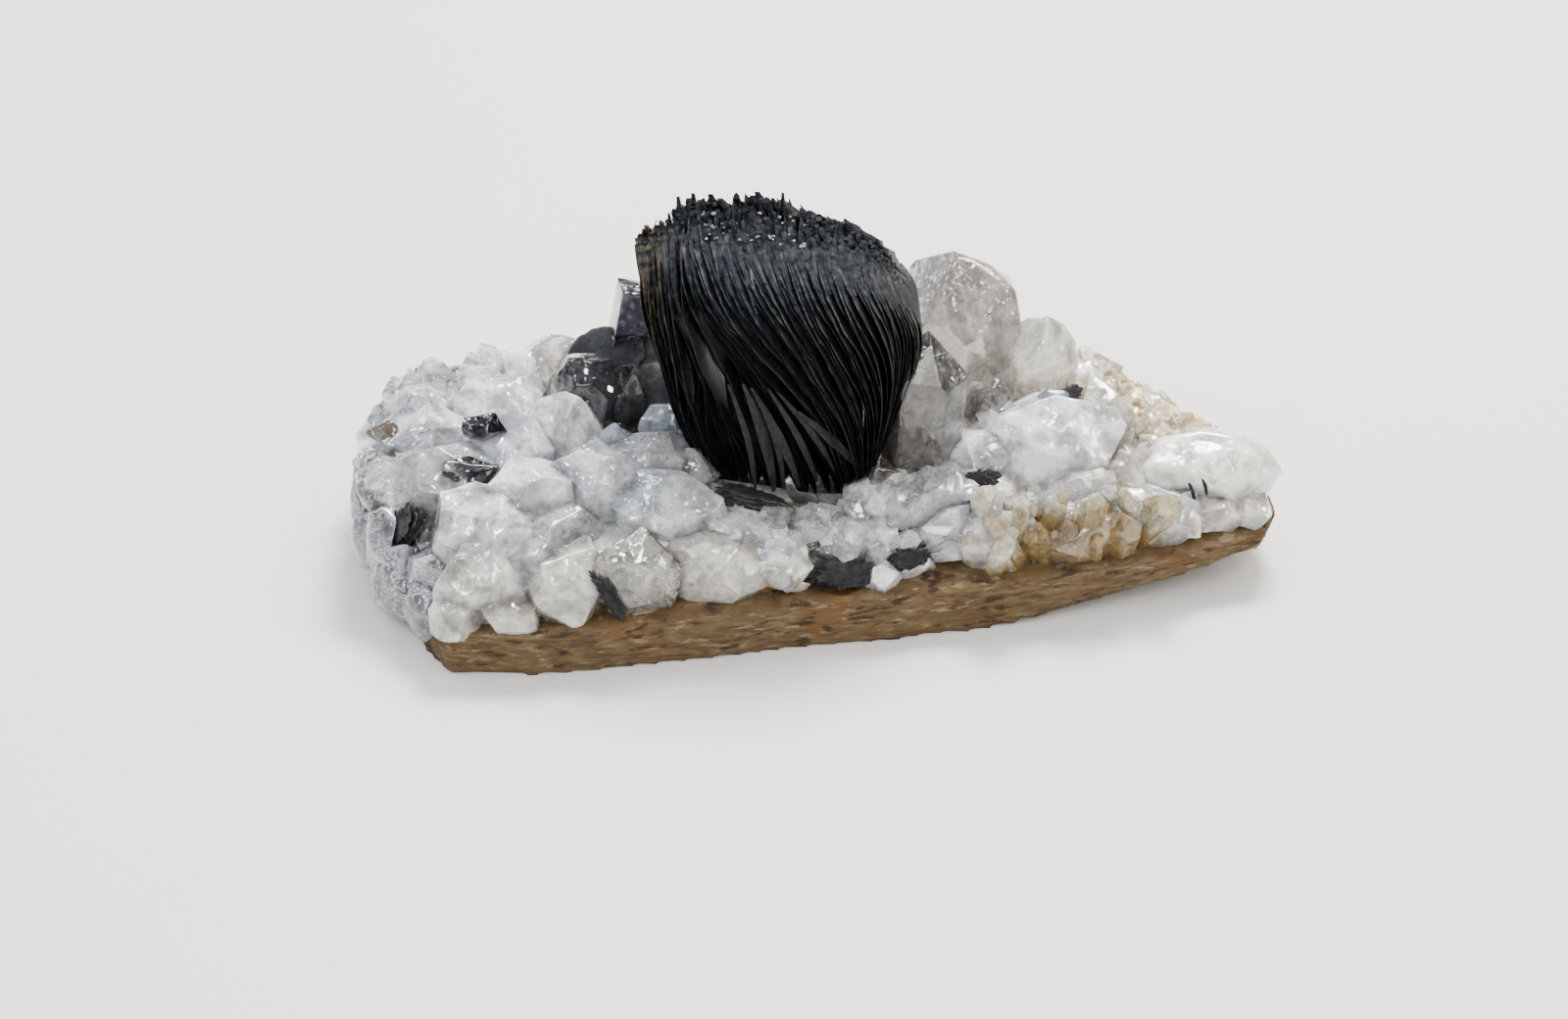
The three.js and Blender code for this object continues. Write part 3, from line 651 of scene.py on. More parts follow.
# The lumps of the crust, as in the model's source but with more faces: look, faces, middle,
# half sizes, turn. The see-through ones are pieces of their own; the cloudy ones grow together,
# and those with SMOOTH_FACES or more are worn smooth.
SMOOTH_FACES = 16
MASSES = [
    # front left: one big blunt mass, three lumps high
    ("creamy", 22, (-27.8, -15.2, 6.8), (5.6, 4.2, 5.4), (0, 10, 10)),
    ("frosty", 22, (-28.6, -11.8, 9.4), (6.2, 5.2, 4.6), (10, 20, 0)),
    ("frosty", 16, (-25.2, -8.6, 11.4), (5.8, 3.8, 3.6), (20, -10, 15)),
    ("creamy", 17, (-21.4, -15.0, 6.8), (4.6, 3.8, 4.6), (0, 0, 40)),
    ("glassy", 14, (-22.4, -11.6, 8.8), (4.2, 3.6, 3.6), (30, 0, 20)),
    ("creamy", 16, (-30.6, -15.8, 5.2), (2.9, 2.8, 3.2), (0, 0, 0)),
    # the long cloudy ridge that falls to the right in front of the rose
    ("icy", 18, (-18.4, -6, 11.6), (5.4, 4.8, 3.8), (0, 15, -8)),
    ("icy", 20, (-12.4, -8.6, 9.8), (6.8, 4.4, 3.9), (0, 14, -14)),
    ("frosty", 16, (-6.2, -10.4, 8.2), (5.2, 3.6, 3.2), (0, 12, -14)),
    ("creamy", 20, (-7.8, -13.0, 6.8), (6.4, 3.2, 4.0), (0, 6, 8)),
    ("warm", 12, (-2.4, -12.4, 6.8), (3, 2.4, 2.6), (0, 30, 0)),
    # the left end, with its crusty side
    ("icy", 17, (-35.4, 1.4, 11), (5.2, 5.2, 3.9), (0, -14, 0)),
    ("glassy", 16, (-32.8, -5.4, 11), (4.8, 4.3, 3.8), (25, 0, 20)),
    ("frosty", 17, (-29, 6.4, 12.2), (5.4, 4.8, 3.4), (0, 8, 30)),
    ("icy", 15, (-27.6, -1.6, 12), (4.4, 3.8, 3.2), (30, 0, 0)),
    ("milky", 12, (-35.8, 8.2, 11), (3.8, 3.8, 3.2), (0, -20, 0)),
    ("shaded", 12, (-37.2, -3, 9), (3.5, 4.6, 4.2), (0, -30, 0)),
    ("shaded", 12, (-39.8, 2.2, 5.8), (2.8, 5, 4.2), (0, 0, -10)),
    ("shaded", 12, (-37.2, -8.6, 6), (2.6, 4.6, 4.2), (0, 0, 28)),
    ("shaded", 16, (-33.6, -12.4, 5), (2.3, 3.2, 3.8), (0, 0, 30)),
    ("milky", 12, (-25.8, 13, 12.2), (3.1, 2.8, 2.6), (0, 20, 0)),
    # front middle
    ("glassy", 12, (-2.8, -8.4, 8.6), (2.4, 2, 2), (0, 0, 30)),
    ("glassy", 12, (0.8, -8.6, 8), (2.5, 2.1, 2.3), (0, 20, 0)),
    ("glassy", 13, (4.2, -9.4, 7.4), (3.3, 2.7, 2.8), (30, 0, 10)),
    ("frosty", 14, (6.9, -5.6, 9.2), (3.6, 3.2, 2.8), (0, 0, 60)),
    ("glassy", 14, (11.4, -5.4, 9.6), (4.8, 3.3, 3.2), (0, -8, 14)),
    ("icy", 12, (11.6, -8.8, 7.8), (3.8, 1.6, 1.7), (0, -38, 10)),
    ("grey", 12, (8.4, -10.6, 6.4), (3.4, 2, 2.2), (0, 0, 10)),
    ("creamy", 14, (17.6, -8.6, 7), (4.2, 3, 3.3), (0, 0, 15)),
    ("frosty", 14, (16.8, -4.8, 9.2), (4.2, 3.2, 3.1), (0, 20, 0)),
    ("creamy", 14, (24.8, -7.4, 6.8), (4.7, 2.9, 3.1), (0, 0, 12)),
    # the big bluish milky crystal on the right, with its lobed left end
    ("snowy", 18, (21.8, 0.6, 11.0), (9.0, 5.2, 5.0), (0, -8, 8)),
    ("snowy", 18, (16.0, -1.4, 11.2), (3.7, 3.3, 3.4), (0, 25, 0)),
    ("creamy", 12, (27.6, 3.6, 12), (3.5, 3.8, 4.1), (0, 0, 20)),
    ("frosty", 14, (25.2, -3.4, 8.6), (4.6, 3.2, 3.1), (0, 0, 0)),
    ("creamy", 14, (29.6, -0.6, 8.8), (3.4, 3.2, 3.3), (0, 40, 0)),
    # the right end
    ("glassy", 14, (32.4, -4.8, 6.8), (4.2, 3, 3.1), (0, 0, 10)),
    ("creamy", 14, (37.4, -3.4, 6.4), (3.2, 2.6, 2.1), (0, 0, 15)),
    ("creamy", 14, (41, -1.8, 6.4), (2.6, 2.8, 1.9), (0, 0, 0)),
    ("pearl", 26, (36.8, 0.6, 8.8), (7.6, 4.2, 3.9), (0, 4, 0)),
    ("sandy", 12, (32.4, 8.2, 8.6), (4.8, 4.6, 3.6), (0, 15, 0)),
    ("sandy", 12, (36.8, 5.4, 7.8), (3.8, 3.8, 2.9), (0, 20, 0)),
    # behind the rose on the right
    ("grey", 12, (13.6, 0.6, 11.4), (3, 2.8, 3.4), (0, 0, 20)),
    ("grey", 12, (15.6, 5.6, 12.4), (3.2, 3.4, 3.8), (0, 0, 50)),
    ("warm", 12, (26.6, 10.8, 12), (3.5, 3.3, 3.2), (0, 0, 0)),
    # the back edge
    ("milky", 12, (-38, 8, 8), (4.6, 4.2, 4), (0, 0, 30)),
    ("grey", 12, (-31, 13.6, 9), (5, 4.2, 4), (0, 0, 60)),
    ("milky", 12, (-22, 16.4, 9.2), (5.2, 4.4, 4.2), (0, 0, 10)),
    ("warm", 12, (-13, 17.6, 9.6), (5, 4.2, 3.8), (0, 0, 80)),
    ("milky", 12, (-4, 17.4, 9.4), (5.4, 4.4, 4.2), (0, 0, 20)),
    ("grey", 12, (5, 17, 9.6), (5, 4.4, 4), (0, 0, 40)),
    ("milky", 12, (13, 15.8, 9.4), (5.2, 4, 4.2), (0, 0, 70)),
    ("warm", 12, (22, 13.2, 9), (5, 4.4, 4), (0, 0, 0)),
    ("sandy", 12, (30, 10.5, 8), (4.8, 4.2, 3.8), (0, 0, 50)),
    # low on the left side, over the rock
    ("shaded", 14, (-37.2, -11, 3.8), (2.2, 3.4, 3.1), (0, 0, 36)),
    ("shaded", 14, (-40.2, -3.6, 3.6), (2.1, 3.8, 3.1), (0, 0, 12)),
    ("shaded", 14, (-34.2, -15.0, 3.6), (1.9, 3.0, 2.8), (0, 0, 40)),
    # low at the front left corner
    ("creamy", 24, (-31.0, -18.0, 5.0), (2.6, 2.4, 2.4), (0, 0, 10)),
    ("creamy", 24, (-26.2, -17.8, 5.3), (3.0, 2.4, 2.2), (0, 20, 0)),
]
FIRST_MASS_SEED = 101
FINE_GRAIN = 0.3
BACK_GRAIN = 0.46
BACK_FROM = 9.5  # lumps behind this y have the coarser grain
CORE_TOP = 9.4
CORE_SHARE = (0.93, 0.84, 1.0)  # how much of the model's base lies behind the lumps
CORE_FOOT = 0.6  # the quartz ends this high, inside the rock

# Width of the worn edges and height of the waves on smooth and on rough lumps
SMOOTH_WEAR = (0.8, 0.22)
ROUGH_WEAR = (0.15, 0.14)

# Rust from the rock: middle, radius, strength
STAINS = [
    ((22, -10.6, 6.6), 4.2, 1.0),
    ((26.6, -9.2, 7.6), 3.6, 1.15),
    ((30, -8.4, 6.2), 3.0, 0.95),
    ((17.6, -12, 5.0), 2.4, 0.6),
    ((-3.4, -14.4, 5.2), 1.8, 0.7),
    ((-39, 0, 3.5), 5, 0.6),
    ((-36.5, -10, 3), 4, 0.65),
    ((2, 19, 5), 6, 0.55),
    ((-22, 19, 5), 5, 0.5),
]


def broken_body(points, faces, grain, smooth):
    """A lump with worn edges and an uneven surface, or one that is worn smooth."""
    edge, height = SMOOTH_WEAR if smooth else ROUGH_WEAR
    made = remeshed(bevelled(link("body", mesh_of("body", points * MM, faces)), edge), grain)
    heave = waves(read(made.data.vertices, "co", 3), 2.6, 1.0, 3)
    lift(made.data, height * MM * heave)
    return made


# How wide the painted shade is where lumps meet
JOINT_WIDTH = 0.7

# Dark holes between the lumps: middle, half sizes, turn
HOLES = [
    ((-29.8, -2.4, 15.6), (1.5, 1.1, 2.4), (0, 20, 0)),
    ((-31, -6.8, 13.2), (2.6, 1.2, 2.6), (0, 10, 0)),
    ((-27.2, -5.4, 14.6), (1.4, 0.9, 2), (0, -30, 0)),
    ((-19.6, -0.4, 15.2), (0.9, 1.2, 2.6), (0, 0, 0)),
    ((-21.9, -11.2, 10.8), (1.3, 1, 2.2), (0, 0, 0)),
]
FIRST_HOLE_SEED = 601
HOLE_FACES = 11

# What stands out gets a painted highlight, what lies back painted shade: rounds of neighbours, height,
# strength
EDGE_HIGHLIGHT = (2, 0.025, 0.45)
CLEFT_SHADE = (12, 0.14, 0.6)
CRACK_SHADE = (3, 0.04, 0.5)
PALEST = 0.98
# Painted shade: how bright the crust is painted where see-through lumps stand in it
GLASS_SHADE = 0.75  # brightness where see-through lumps stand in the crust
EDGE_CLOUD = 0.5  # how much less clear the edges are


def layer(name, low, high):
    """A box wider than the specimen, between two heights."""
    return box(name, (-60, -40, low), (60, 40, high))


def milky_body():
    """The cloudy lumps grown together on the model's own base, with room for the slab, the rose
    and the flakes, and with the dark holes."""
    core = copied("quartz_crust")
    boolean(core, layer("base", -1, CORE_TOP), "INTERSECT")
    set_coordinates(core.data, read(core.data.vertices, "co", 3) * np.array(CORE_SHARE))
    bodies = [core]
    for i, (look, faces, at, radii, turn) in enumerate(MASSES):
        if look in GLASS:
            continue
        smooth = faces >= SMOOTH_FACES
        corners, sides = lump_body(radii, FIRST_MASS_SEED + i, faces, EVEN_CUT if smooth else DEEP_CUT)
        placed = moved(corners, placing(at, turn))
        grain = FINE_GRAIN if at[1] < BACK_FROM else BACK_GRAIN
        bodies.append(broken_body(placed, sides, grain, smooth))
    made = united(bodies)
    made.name = "milky_quartz"
    cutters = [copied("rock_slab"), layer("under", -10, CORE_FOOT), rose_room()]
    cutters += [flake_room(form) for form in FLAKES.values()]
    for i, (at, radii, turn) in enumerate(HOLES):
        corners, sides = lump_body(radii, FIRST_HOLE_SEED + i, HOLE_FACES)
        cutters.append(link("hole", mesh_of("hole", moved(corners, placing(at, turn)) * MM, sides)))
    for cutter in cutters:
        boolean(made, cutter, "DIFFERENCE")
    return made


def milky_piece(material):
    """The crust's cloudy body: painted highlight on its edges, painted shade in clefts and round clear
    lumps.
    """
    made = milky_body()
    mesh = made.data
    points = read(mesh.vertices, "co", 3)
    tints, clear = looks_at(points)
    edges = np.maximum(proudness(mesh, *EDGE_HIGHLIGHT[:2]), 0)
    clefts = np.maximum(-proudness(mesh, *CLEFT_SHADE[:2]), 0)
    cracks = np.maximum(-proudness(mesh, *CRACK_SHADE[:2]), 0)
    # Painted highlight on the edges, painted shade in clefts and cracks
    shade = (1 + EDGE_HIGHLIGHT[2] * edges) * (1 - CLEFT_SHADE[2] * clefts) * (1 - CRACK_SHADE[2] * cracks)
    glassy = [row for row in LUMPS if row[0] in GLASS]
    # Painted shade round the see-through lumps that stand in the crust
    shade *= GLASS_SHADE + (1 - GLASS_SHADE) * freedom(points, glassy)
    set_colour(mesh, "tint", np.minimum(tints * shade[:, None], PALEST))
    set_attribute(mesh, "clear", clear * (1 - EDGE_CLOUD * edges))
    set_attribute(mesh, "stain", spots(points, STAINS))
    set_smooth(mesh)
    mesh.set_sharp_from_angle(angle=CRUST_CREASE)
    dress(mesh, material)
    return made


def proudness(mesh, width, height):
    """How far each point stands out of its surroundings, from -1 in a cleft to 1 on an edge:
    the surroundings are width rounds of neighbours, and 1 stands for height in millimetres."""
    points = read(mesh.vertices, "co", 3)
    normals = read(mesh.vertices, "normal", 3)
    ends = np.empty(2 * len(mesh.edges), int)
    mesh.edges.foreach_get("vertices", ends)
    first, second = ends.reshape(-1, 2).T
    degree = np.maximum(np.bincount(ends, minlength=len(points)), 1)

    def blurred(values):
        total = np.zeros_like(values)
        np.add.at(total, first, values[second])
        np.add.at(total, second, values[first])
        return 0.5 * (values + total / degree[:, None])

    soft = points
    for _ in range(width):
        soft = blurred(soft)
    proud = ((points - soft) * normals).sum(axis=1)[:, None]
    for _ in range(2):
        proud = blurred(proud)
    return np.clip(proud[:, 0] / (height * MM), -1, 1)


def outness(points, at, radii, turn):
    """How far out of a lump's middle each point, in metres, lies: 1 on its ball."""
    inside = np.array(placing(at, turn).inverted())
    local = points / MM @ inside[:3, :3].T + inside[:3, 3]
    return np.linalg.norm(local / np.array(radii), axis=1)


def freedom(points, lumps):
    """How far each point, in metres, is from the skins of the lumps: 0 where they meet, 1 away."""
    nearest = np.full(len(points), JOINT_WIDTH)
    for _, at, radii, turn in lumps:
        away = (outness(points, at, radii, turn) - 0.9) * min(radii)
        nearest = np.minimum(nearest, np.abs(away))
    return nearest / JOINT_WIDTH


def looks_at(points):
    """The tint and clearness of the lump that each point, in metres, belongs to."""
    random = random_stream(61)
    nearest = np.full(len(points), np.inf)
    tints = np.zeros((len(points), 3))
    clear = np.zeros(len(points))
    for look, _, at, radii, turn in MASSES:
        brighter = 0.82 + 0.26 * random()
        clearer = 0.88 + 0.24 * random()
        if look in GLASS:
            continue
        tint, share = CLOUDY[look]
        away = outness(points, at, radii, turn)
        closer = away < nearest
        nearest[closer] = away[closer]
        tints[closer] = np.array(tint) * brighter
        clear[closer] = min(1.0, share * clearer)
    return tints, clear


# Clear and coloured crystals

# Crystals with points of their own, as in the model's source: name, look, root, turn, radius,
# length
CRYSTALS = [
    ("smoky_point", "smoke", (10.4, -0.2, 8.6), (5, 2, 20), 3.6, 16.4),
    ("back_crystal", "misty", (15.5, 12.2, 9), (6, -6, 8), 6.0, 19.4),
    ("cream_crystal", "creamy", (20.6, 9.4, 9), (4, 10, 25), 3.9, 12.2),
    ("left_crystal", "frosty", (-23.4, 3.4, 8.4), (18, 14, 10), 3.7, 9.2),
    ("far_left_crystal", "dark", (-33.6, 9.8, 8.6), (0, -30, 0), 2.2, 7),
    ("smoky_side", "smoke", (14.8, 1.8, 10), (-8, 24, 0), 2.1, 8.4),
    ("smoky_foot", "smoke", (7.9, -3.4, 8), (24, -16, 0), 1.8, 5.6),
    ("ridge_crystal", "bluish", (-17.6, -1.2, 11.6), (20, 10, 0), 1.6, 4.4),
    ("golden_crystal", "honey", (28.8, -8.4, 5.2), (22, 6, 0), 1.5, 5.6),
    ("white_crystal", "creamy", (-27.2, 13, 10.4), (-6, 46, 0), 2.4, 7.8),
]
FIRST_CRYSTAL_SEED = 401

# A blunt block of smoky quartz behind the rosette
BLOCK = dict(at=(-16.9, 10.8, 16.4), turn=(2, 11, 12))
BLOCK_SIDES = [(1, 0, 0), (-1, 0, 0), (0, 1, 0), (0, -1, 0), (0.12, 0.1, 1), (0, 0, -1)]
BLOCK_DISTANCES = [1.75, 1.75, 1.6, 1.6, 6.4, 6.4]

# Lumps of clear or coloured quartz that stand out of the crust: name, look, faces, middle,
# half sizes, turn
GEMS = [
    ("sparkling_lump", "sparkling", 16, (-15.2, -14.9, 7.2), (4.2, 3.3, 4.2), (15, 0, 0)),
    ("clear_lump", "glassy", 18, (-14.4, -3.2, 12), (4.1, 3.3, 3), (0, 0, 20)),
    ("blue_chunk", "bluish", 12, (-12.2, 2, 12.6), (2.8, 2.6, 2.8), (20, 0, 0)),
    ("clear_foot", "glassy", 12, (-10.6, -2.6, 10.8), (2.6, 2.2, 2.2), (0, 40, 0)),
    ("smoky_dome", "dome", 20, (-20.2, 5, 14.2), (3.6, 3.4, 4.2), (-10, 0, 0)),
    ("brown_crystal", "brown", 12, (-16.6, 4.6, 12.8), (2.1, 2.1, 4.4), (0, 0, 0)),
    ("smoky_gap", "brown", 10, (-21.6, -11, 9.4), (1.5, 1.3, 1.4), (0, 20, 0)),
    # dark_gap and dark_hole are dark lumps set in holes, partly dark crystal and partly painted shade of
    # the hole
    ("dark_gap", "dark", 10, (-30.8, -6.4, 12.9), (2.6, 1.4, 1.3), (0, 10, 0)),
    ("dark_hole", "dark", 10, (-29.6, -2.2, 15.0), (1.8, 1.2, 1.2), (0, 10, 0)),
    ("clear_polygon", "glassy", 12, (-23.8, -15.4, 8.6), (2.9, 2.4, 2.4), (0, 10, 0)),
    ("grey_eye", "bluish", 12, (23.0, 2.2, 15.2), (1.5, 1.0, 1.2), (0, 0, 0)),
]
FIRST_GEM_SEED = 701

# Every lump: look, middle, half sizes, turn
LUMPS = [(look, at, radii, turn) for look, _, at, radii, turn in MASSES]
LUMPS += [(look, at, radii, turn) for _, look, _, at, radii, turn in GEMS]

# Looks of crystals that keep flat faces, with how far the others are uneven
FLAT_LOOKS = ("smoke", "block", "honey", "misty")
UNEVEN = 0.2
THIN_EDGE = 0.14
DOME_EDGE = 1.0
SHADES = (0.93, 0.16)  # least brightness of a piece, and how far it may be brighter
# Painted shade: how bright see-through lumps are painted where they meet
JOINT_SHADE = 0.42  # brightness where see-through lumps meet


def crystal_pieces(glass):
    """The standing crystals, the gem-like lumps and the clear masses of the crust."""
    bodies = []
    for i, (name, look, at, turn, radius, length) in enumerate(CRYSTALS):
        body = crystal_body(radius, length, FIRST_CRYSTAL_SEED + i, sharp=name == "smoky_point")
        bodies.append((name, look, body, at, turn))
    for i, (name, look, count, at, radii, turn) in enumerate(GEMS):
        bodies.append((name, look, lump_body(radii, FIRST_GEM_SEED + i, count), at, turn))
    for i, (look, count, at, radii, turn) in enumerate(MASSES):
        if look in GLASS:
            body = lump_body(radii, FIRST_MASS_SEED + i, count, DEEP_CUT)
            bodies.append(("clear_mass_%d" % i, look, body, at, turn))
    body = convex_body(BLOCK_SIDES, BLOCK_DISTANCES)
    bodies.append(("smoky_block", "block", body, BLOCK["at"], BLOCK["turn"]))
    random = random_stream(67)
    return [clear_piece(*row, SHADES[0] + SHADES[1] * random(), glass[row[1]]) for row in bodies]


def clear_piece(name, look, body, at, turn, brightness, material):
    """A see-through crystal with thin worn edges and painted shade where it meets others; the
    dome's edges are worn away, and a lump's faces are uneven."""
    corners, faces = body
    placed = over_slab(moved(corners, placing(at, turn)))
    piece = link(name, mesh_of(name, placed * MM, faces))
    evaluated(bevelled(piece, DOME_EDGE if look == "dome" else THIN_EDGE))
    mesh = piece.data = triangulated(piece)
    mesh.name = name
    places = read(mesh.vertices, "co", 3)
    shade = np.ones(len(places)) * (1 if look == "snowy" else brightness)
    if look not in FLAT_LOOKS:
        lift(mesh, UNEVEN * MM * waves(places, 2.2, 0.9, 4))
        others = [row for row in LUMPS if row[1] != at]
        # Painted shade where the crystal meets other lumps
        shade *= JOINT_SHADE + (1 - JOINT_SHADE) * freedom(places, others)
    set_colour(mesh, "tint", np.minimum(np.array(GLASS[look][0]) * shade[:, None], PALEST))
    set_attribute(mesh, "stain", spots(places, STAINS))
    set_smooth(mesh)
    mesh.set_sharp_from_angle(angle=CRYSTAL_CREASE)
    dress(mesh, material)
    return piece


# Middling crystals grown into the masses, zone by zone: middle, radius, how many, smallest
# and largest half width, looks
PATCHES = [
    ((-34, 2, 12), 9, 10, (1.2, 2.6), ("glassy", "grey")),
    ((-39, -4, 6), 7, 30, (1.0, 2.2), ("shaded", "grey", "milky")),
    ((2, -10, 8), 7, 30, (1.0, 2.0), ("glassy", "milky", "grey")),
    ((13, -7, 9), 6, 16, (1.0, 2.2), ("glassy", "milky")),
    ((24, -8, 7), 7, 20, (0.9, 1.8), ("warm", "glassy")),
    ((33, 8, 10), 7, 22, (0.8, 1.6), ("sandy", "warm")),
    ((17, 4, 14), 6, 12, (0.8, 1.8), ("grey", "glassy")),
    ((-36, 12, 8), 8, 34, (1.2, 2.6), ("grey", "milky")),
    ((-16, 18, 9), 11, 50, (1.2, 2.8), ("milky", "warm", "glassy")),
    ((8, 18, 9), 11, 50, (1.2, 2.8), ("milky", "grey")),
    ((28, 13, 8), 8, 34, (1.0, 2.2), ("warm", "sandy")),
]

# Small crystals scattered over the crust, zone by zone: middle, radius, how many, smallest
# and largest half width, looks, length over width
ZONES = [
    ((0, -10.5, 8), 7, 40, (0.5, 1.4), ("glassy", "milky", "glassy"), 1.5),
    ((10, -9, 8), 6, 20, (0.5, 1.5), ("glassy", "milky"), 1.5),
    ((20, -10, 6), 6, 40, (0.5, 1.2), ("warm", "glassy", "honey"), 2.4),
    ((29, -8, 6), 5, 30, (0.45, 1.1), ("honey", "warm", "glassy"), 2.4),
    ((37, -4, 6), 5, 8, (0.5, 1.2), ("grey", "warm"), 1.6),
    ((33, 8, 10), 8, 70, (0.25, 0.7), ("sandy", "warm"), 1.5),
    ((25, 11, 13), 5, 12, (0.4, 1.2), ("warm", "sandy"), 1.6),
    ((17, 3, 13), 5, 8, (0.5, 1.4), ("grey", "glassy"), 1.8),
    ((6, -5, 10), 4, 10, (0.5, 1.2), ("glassy", "grey"), 1.6),
    ((-13, -2, 13), 6, 12, (0.4, 1.0), ("glassy",), 1.5),
    ((-5, -13, 7), 4, 10, (0.4, 0.9), ("honey", "warm"), 1.8),
    ((-41, -3, 6), 8, 40, (0.4, 1.4), ("grey", "shaded", "brown"), 1.5),
    ((-36, 11, 8), 9, 36, (0.6, 1.6), ("grey", "milky"), 1.6),
    ((-16, 17, 10), 12, 60, (0.6, 1.8), ("milky", "warm", "glassy"), 1.6),
    ((8, 17, 10), 12, 60, (0.6, 1.8), ("milky", "grey", "glassy"), 1.6),
    ((28, 12, 9), 9, 30, (0.5, 1.4), ("warm", "sandy"), 1.6),
]

FACING_DOWN = -0.1  # faces whose normals point further down carry no crystals
LOWEST_CRYSTAL = 6.2


def surface_samples(meshes):
    """Middles in millimetres, normals and areas of the open, upward or outward faces."""
    middles = np.vstack([read(mesh.polygons, "center", 3) for mesh in meshes]) / MM
    normals = np.vstack([read(mesh.polygons, "normal", 3) for mesh in meshes])
    areas = np.concatenate([read(mesh.polygons, "area", 1) for mesh in meshes])
    shown = (normals[:, 2] > FACING_DOWN) & (middles[:, 2] > LOWEST_CRYSTAL)
    shown &= np.array([not over_rose(middle) for middle in middles])
    return middles[shown], normals[shown], areas[shown]


LONGEST_EDGE = 1.0


def triangulated(obj):
    """The object's mesh in small triangles, so that places spread evenly over it."""
    work = bmesh.new()
    work.from_mesh(obj.data)
    bmesh.ops.triangulate(work, faces=work.faces)
    for _ in range(3):
        long_edges = [edge for edge in work.edges if edge.calc_length() > LONGEST_EDGE * MM]
        bmesh.ops.subdivide_edges(work, edges=long_edges, cuts=1, use_grid_fill=True)
    mesh = bpy.data.meshes.new("samples")
    work.to_mesh(mesh)
    work.free()
    return mesh


def over_slab(points):
    """The points, in millimetres, moved in where they reach out past the rock's front and sides."""
    for normal, distance in SLAB_SIDES:
        out = (points[:, :2] @ normal).max() - distance - OVERHANG
        points[:, :2] -= max(0, out) * normal
    return points


def slab_sides():
    """The straight sides round the rock seen from above: outward normals and distances."""
    points = read(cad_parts["rock_slab"].data.vertices, "co", 3) / MM
    sides = []
    for i in range(SIDE_COUNT):
        around = TAU * i / SIDE_COUNT
        normal = np.array((math.cos(around), math.sin(around)))
        sides.append((normal, (points[:, :2] @ normal).max()))
    return sides


SIDE_COUNT = 24
OVERHANG = 0.5  # how far quartz may reach out past the rock
SLAB_SIDES = slab_sides()


def middling(chance, k, sizes, middle, normal):
    """A middling lump, mostly sunk: its corners and faces, where its root is and its axis."""
    least, most = sizes
    size = least + (most - least) * chance.random() ** 1.6
    radii = size * np.array((1.0, 0.7 + 0.3 * chance.random(), 0.8 + 0.5 * chance.random()))
    corners, faces = lump_body(radii, int(chance.integers(1, MOST_SEEDS)), 13, DEEP_CUT)
    root = middle - normal * size * (0.35 + 0.25 * chance.random())
    return corners, faces, root, Vector(chance.normal(0, 1, 3))


def small(chance, k, sizes, middle, normal, stretch):
    """A small crystal or splinter, half sunk: its corners and faces, where its root is and its
    axis. Where stretch is more than COLUMN, all are slim columns that stand up."""
    least, most = sizes
    size = least + (most - least) * chance.random() ** 2
    length = size * stretch * (0.9 + 0.5 * chance.random())
    axis = Vector(normal) + Vector(chance.normal(0, 0.35, 3)) + Vector((0, 0, 0.5))
    columns = stretch > COLUMN
    if columns:
        axis = Vector((0.2 * chance.normal(), -0.3, 1))
    seed = int(chance.integers(1, MOST_SEEDS))
    if k % 3 == 2 and not columns:
        radii = size * (0.8 + 0.5 * chance.random(3))
        corners, faces = lump_body(radii, seed, 9)
        sunk = 0.2 * size
    else:
        corners, faces = crystal_body(size, 2 * length, seed, ends=3 + 3 * (k % 2))
        sunk = (1.0 if columns else 1.45) * length
    return corners, faces, Vector(middle) - axis.normalized() * sunk, axis


# The two strewn kinds: how one is made, zones, seed, worn edge, least brightness and how far
# one may be brighter, how much clearer than its look, names of the cloudy and the clear ones
MIDDLING = (middling, PATCHES, 29, 0.08, (0.86, 0.16), 0.1, ("grown_crystals", "grown_clear"))
SMALL = (small, ZONES, 17, 0.0, (0.85, 0.2), 0.15, ("small_crystals", "small_clear"))
MOST_SEEDS = 100000
COLUMN = 2


def strewn_pieces(kind, samples, materials):
    """Crystals over the open faces of the crust, zone by zone, the cloudy ones and the clear
    ones in a piece each."""
    make, zones, seed, worn, shades, clearer, names = kind
    middles, normals, areas = samples
    chance = np.random.default_rng(seed)
    piles = Pile(), Pile()
    for at, radius, count, sizes, looks, *form in zones:
        near = np.flatnonzero(np.linalg.norm(middles - np.array(at), axis=1) < radius)
        chosen = chance.choice(near, count, p=areas[near] / areas[near].sum())
        for k, face in enumerate(chosen):
            corners, faces, root, axis = make(chance, k, sizes, middles[face], normals[face], *form)
            turned = axis.to_track_quat("Z", "Y").to_matrix().to_4x4()
            placed = over_slab(moved(corners, Matrix.Translation(Vector(root)) @ turned))
            look = looks[k % len(looks)]
            tint, clear = CLOUDY[look] if look in CLOUDY else (GLASS[look][0], 1.0)
            shade = shades[0] + shades[1] * chance.random()
            tint = tuple(shade * c for c in tint)
            piles[look in GLASS].add(placed, faces, tint, min(1.0, clear + clearer))
    return [finished_pile(*row, worn) for row in zip(piles, names, materials)]


def finished_pile(pile, name, material, worn=0.0):
    """The pile as a piece, with thin worn edges where worn is given, and its stains."""
    made = pile.build(name)
    if worn:
        evaluated(bevelled(made, worn, 1))
    set_attribute(made.data, "stain", spots(read(made.data.vertices, "co", 3), STAINS))
    dress(made.data, material)
    return made


# Where the rose and the rosette cover the crust: middle and half sizes
COVERED = [((0.2, 1.5), (9.4, 8.4)), ((-15.5, 7.5), (4.4, 4.4))]


def over_rose(point):
    """True under the rose's and the rosette's blades."""
    return any(
        math.hypot((point[0] - x) / wide, (point[1] - y) / deep) < 1
        for (x, y), (wide, deep) in COVERED
    )


# The hematite rose

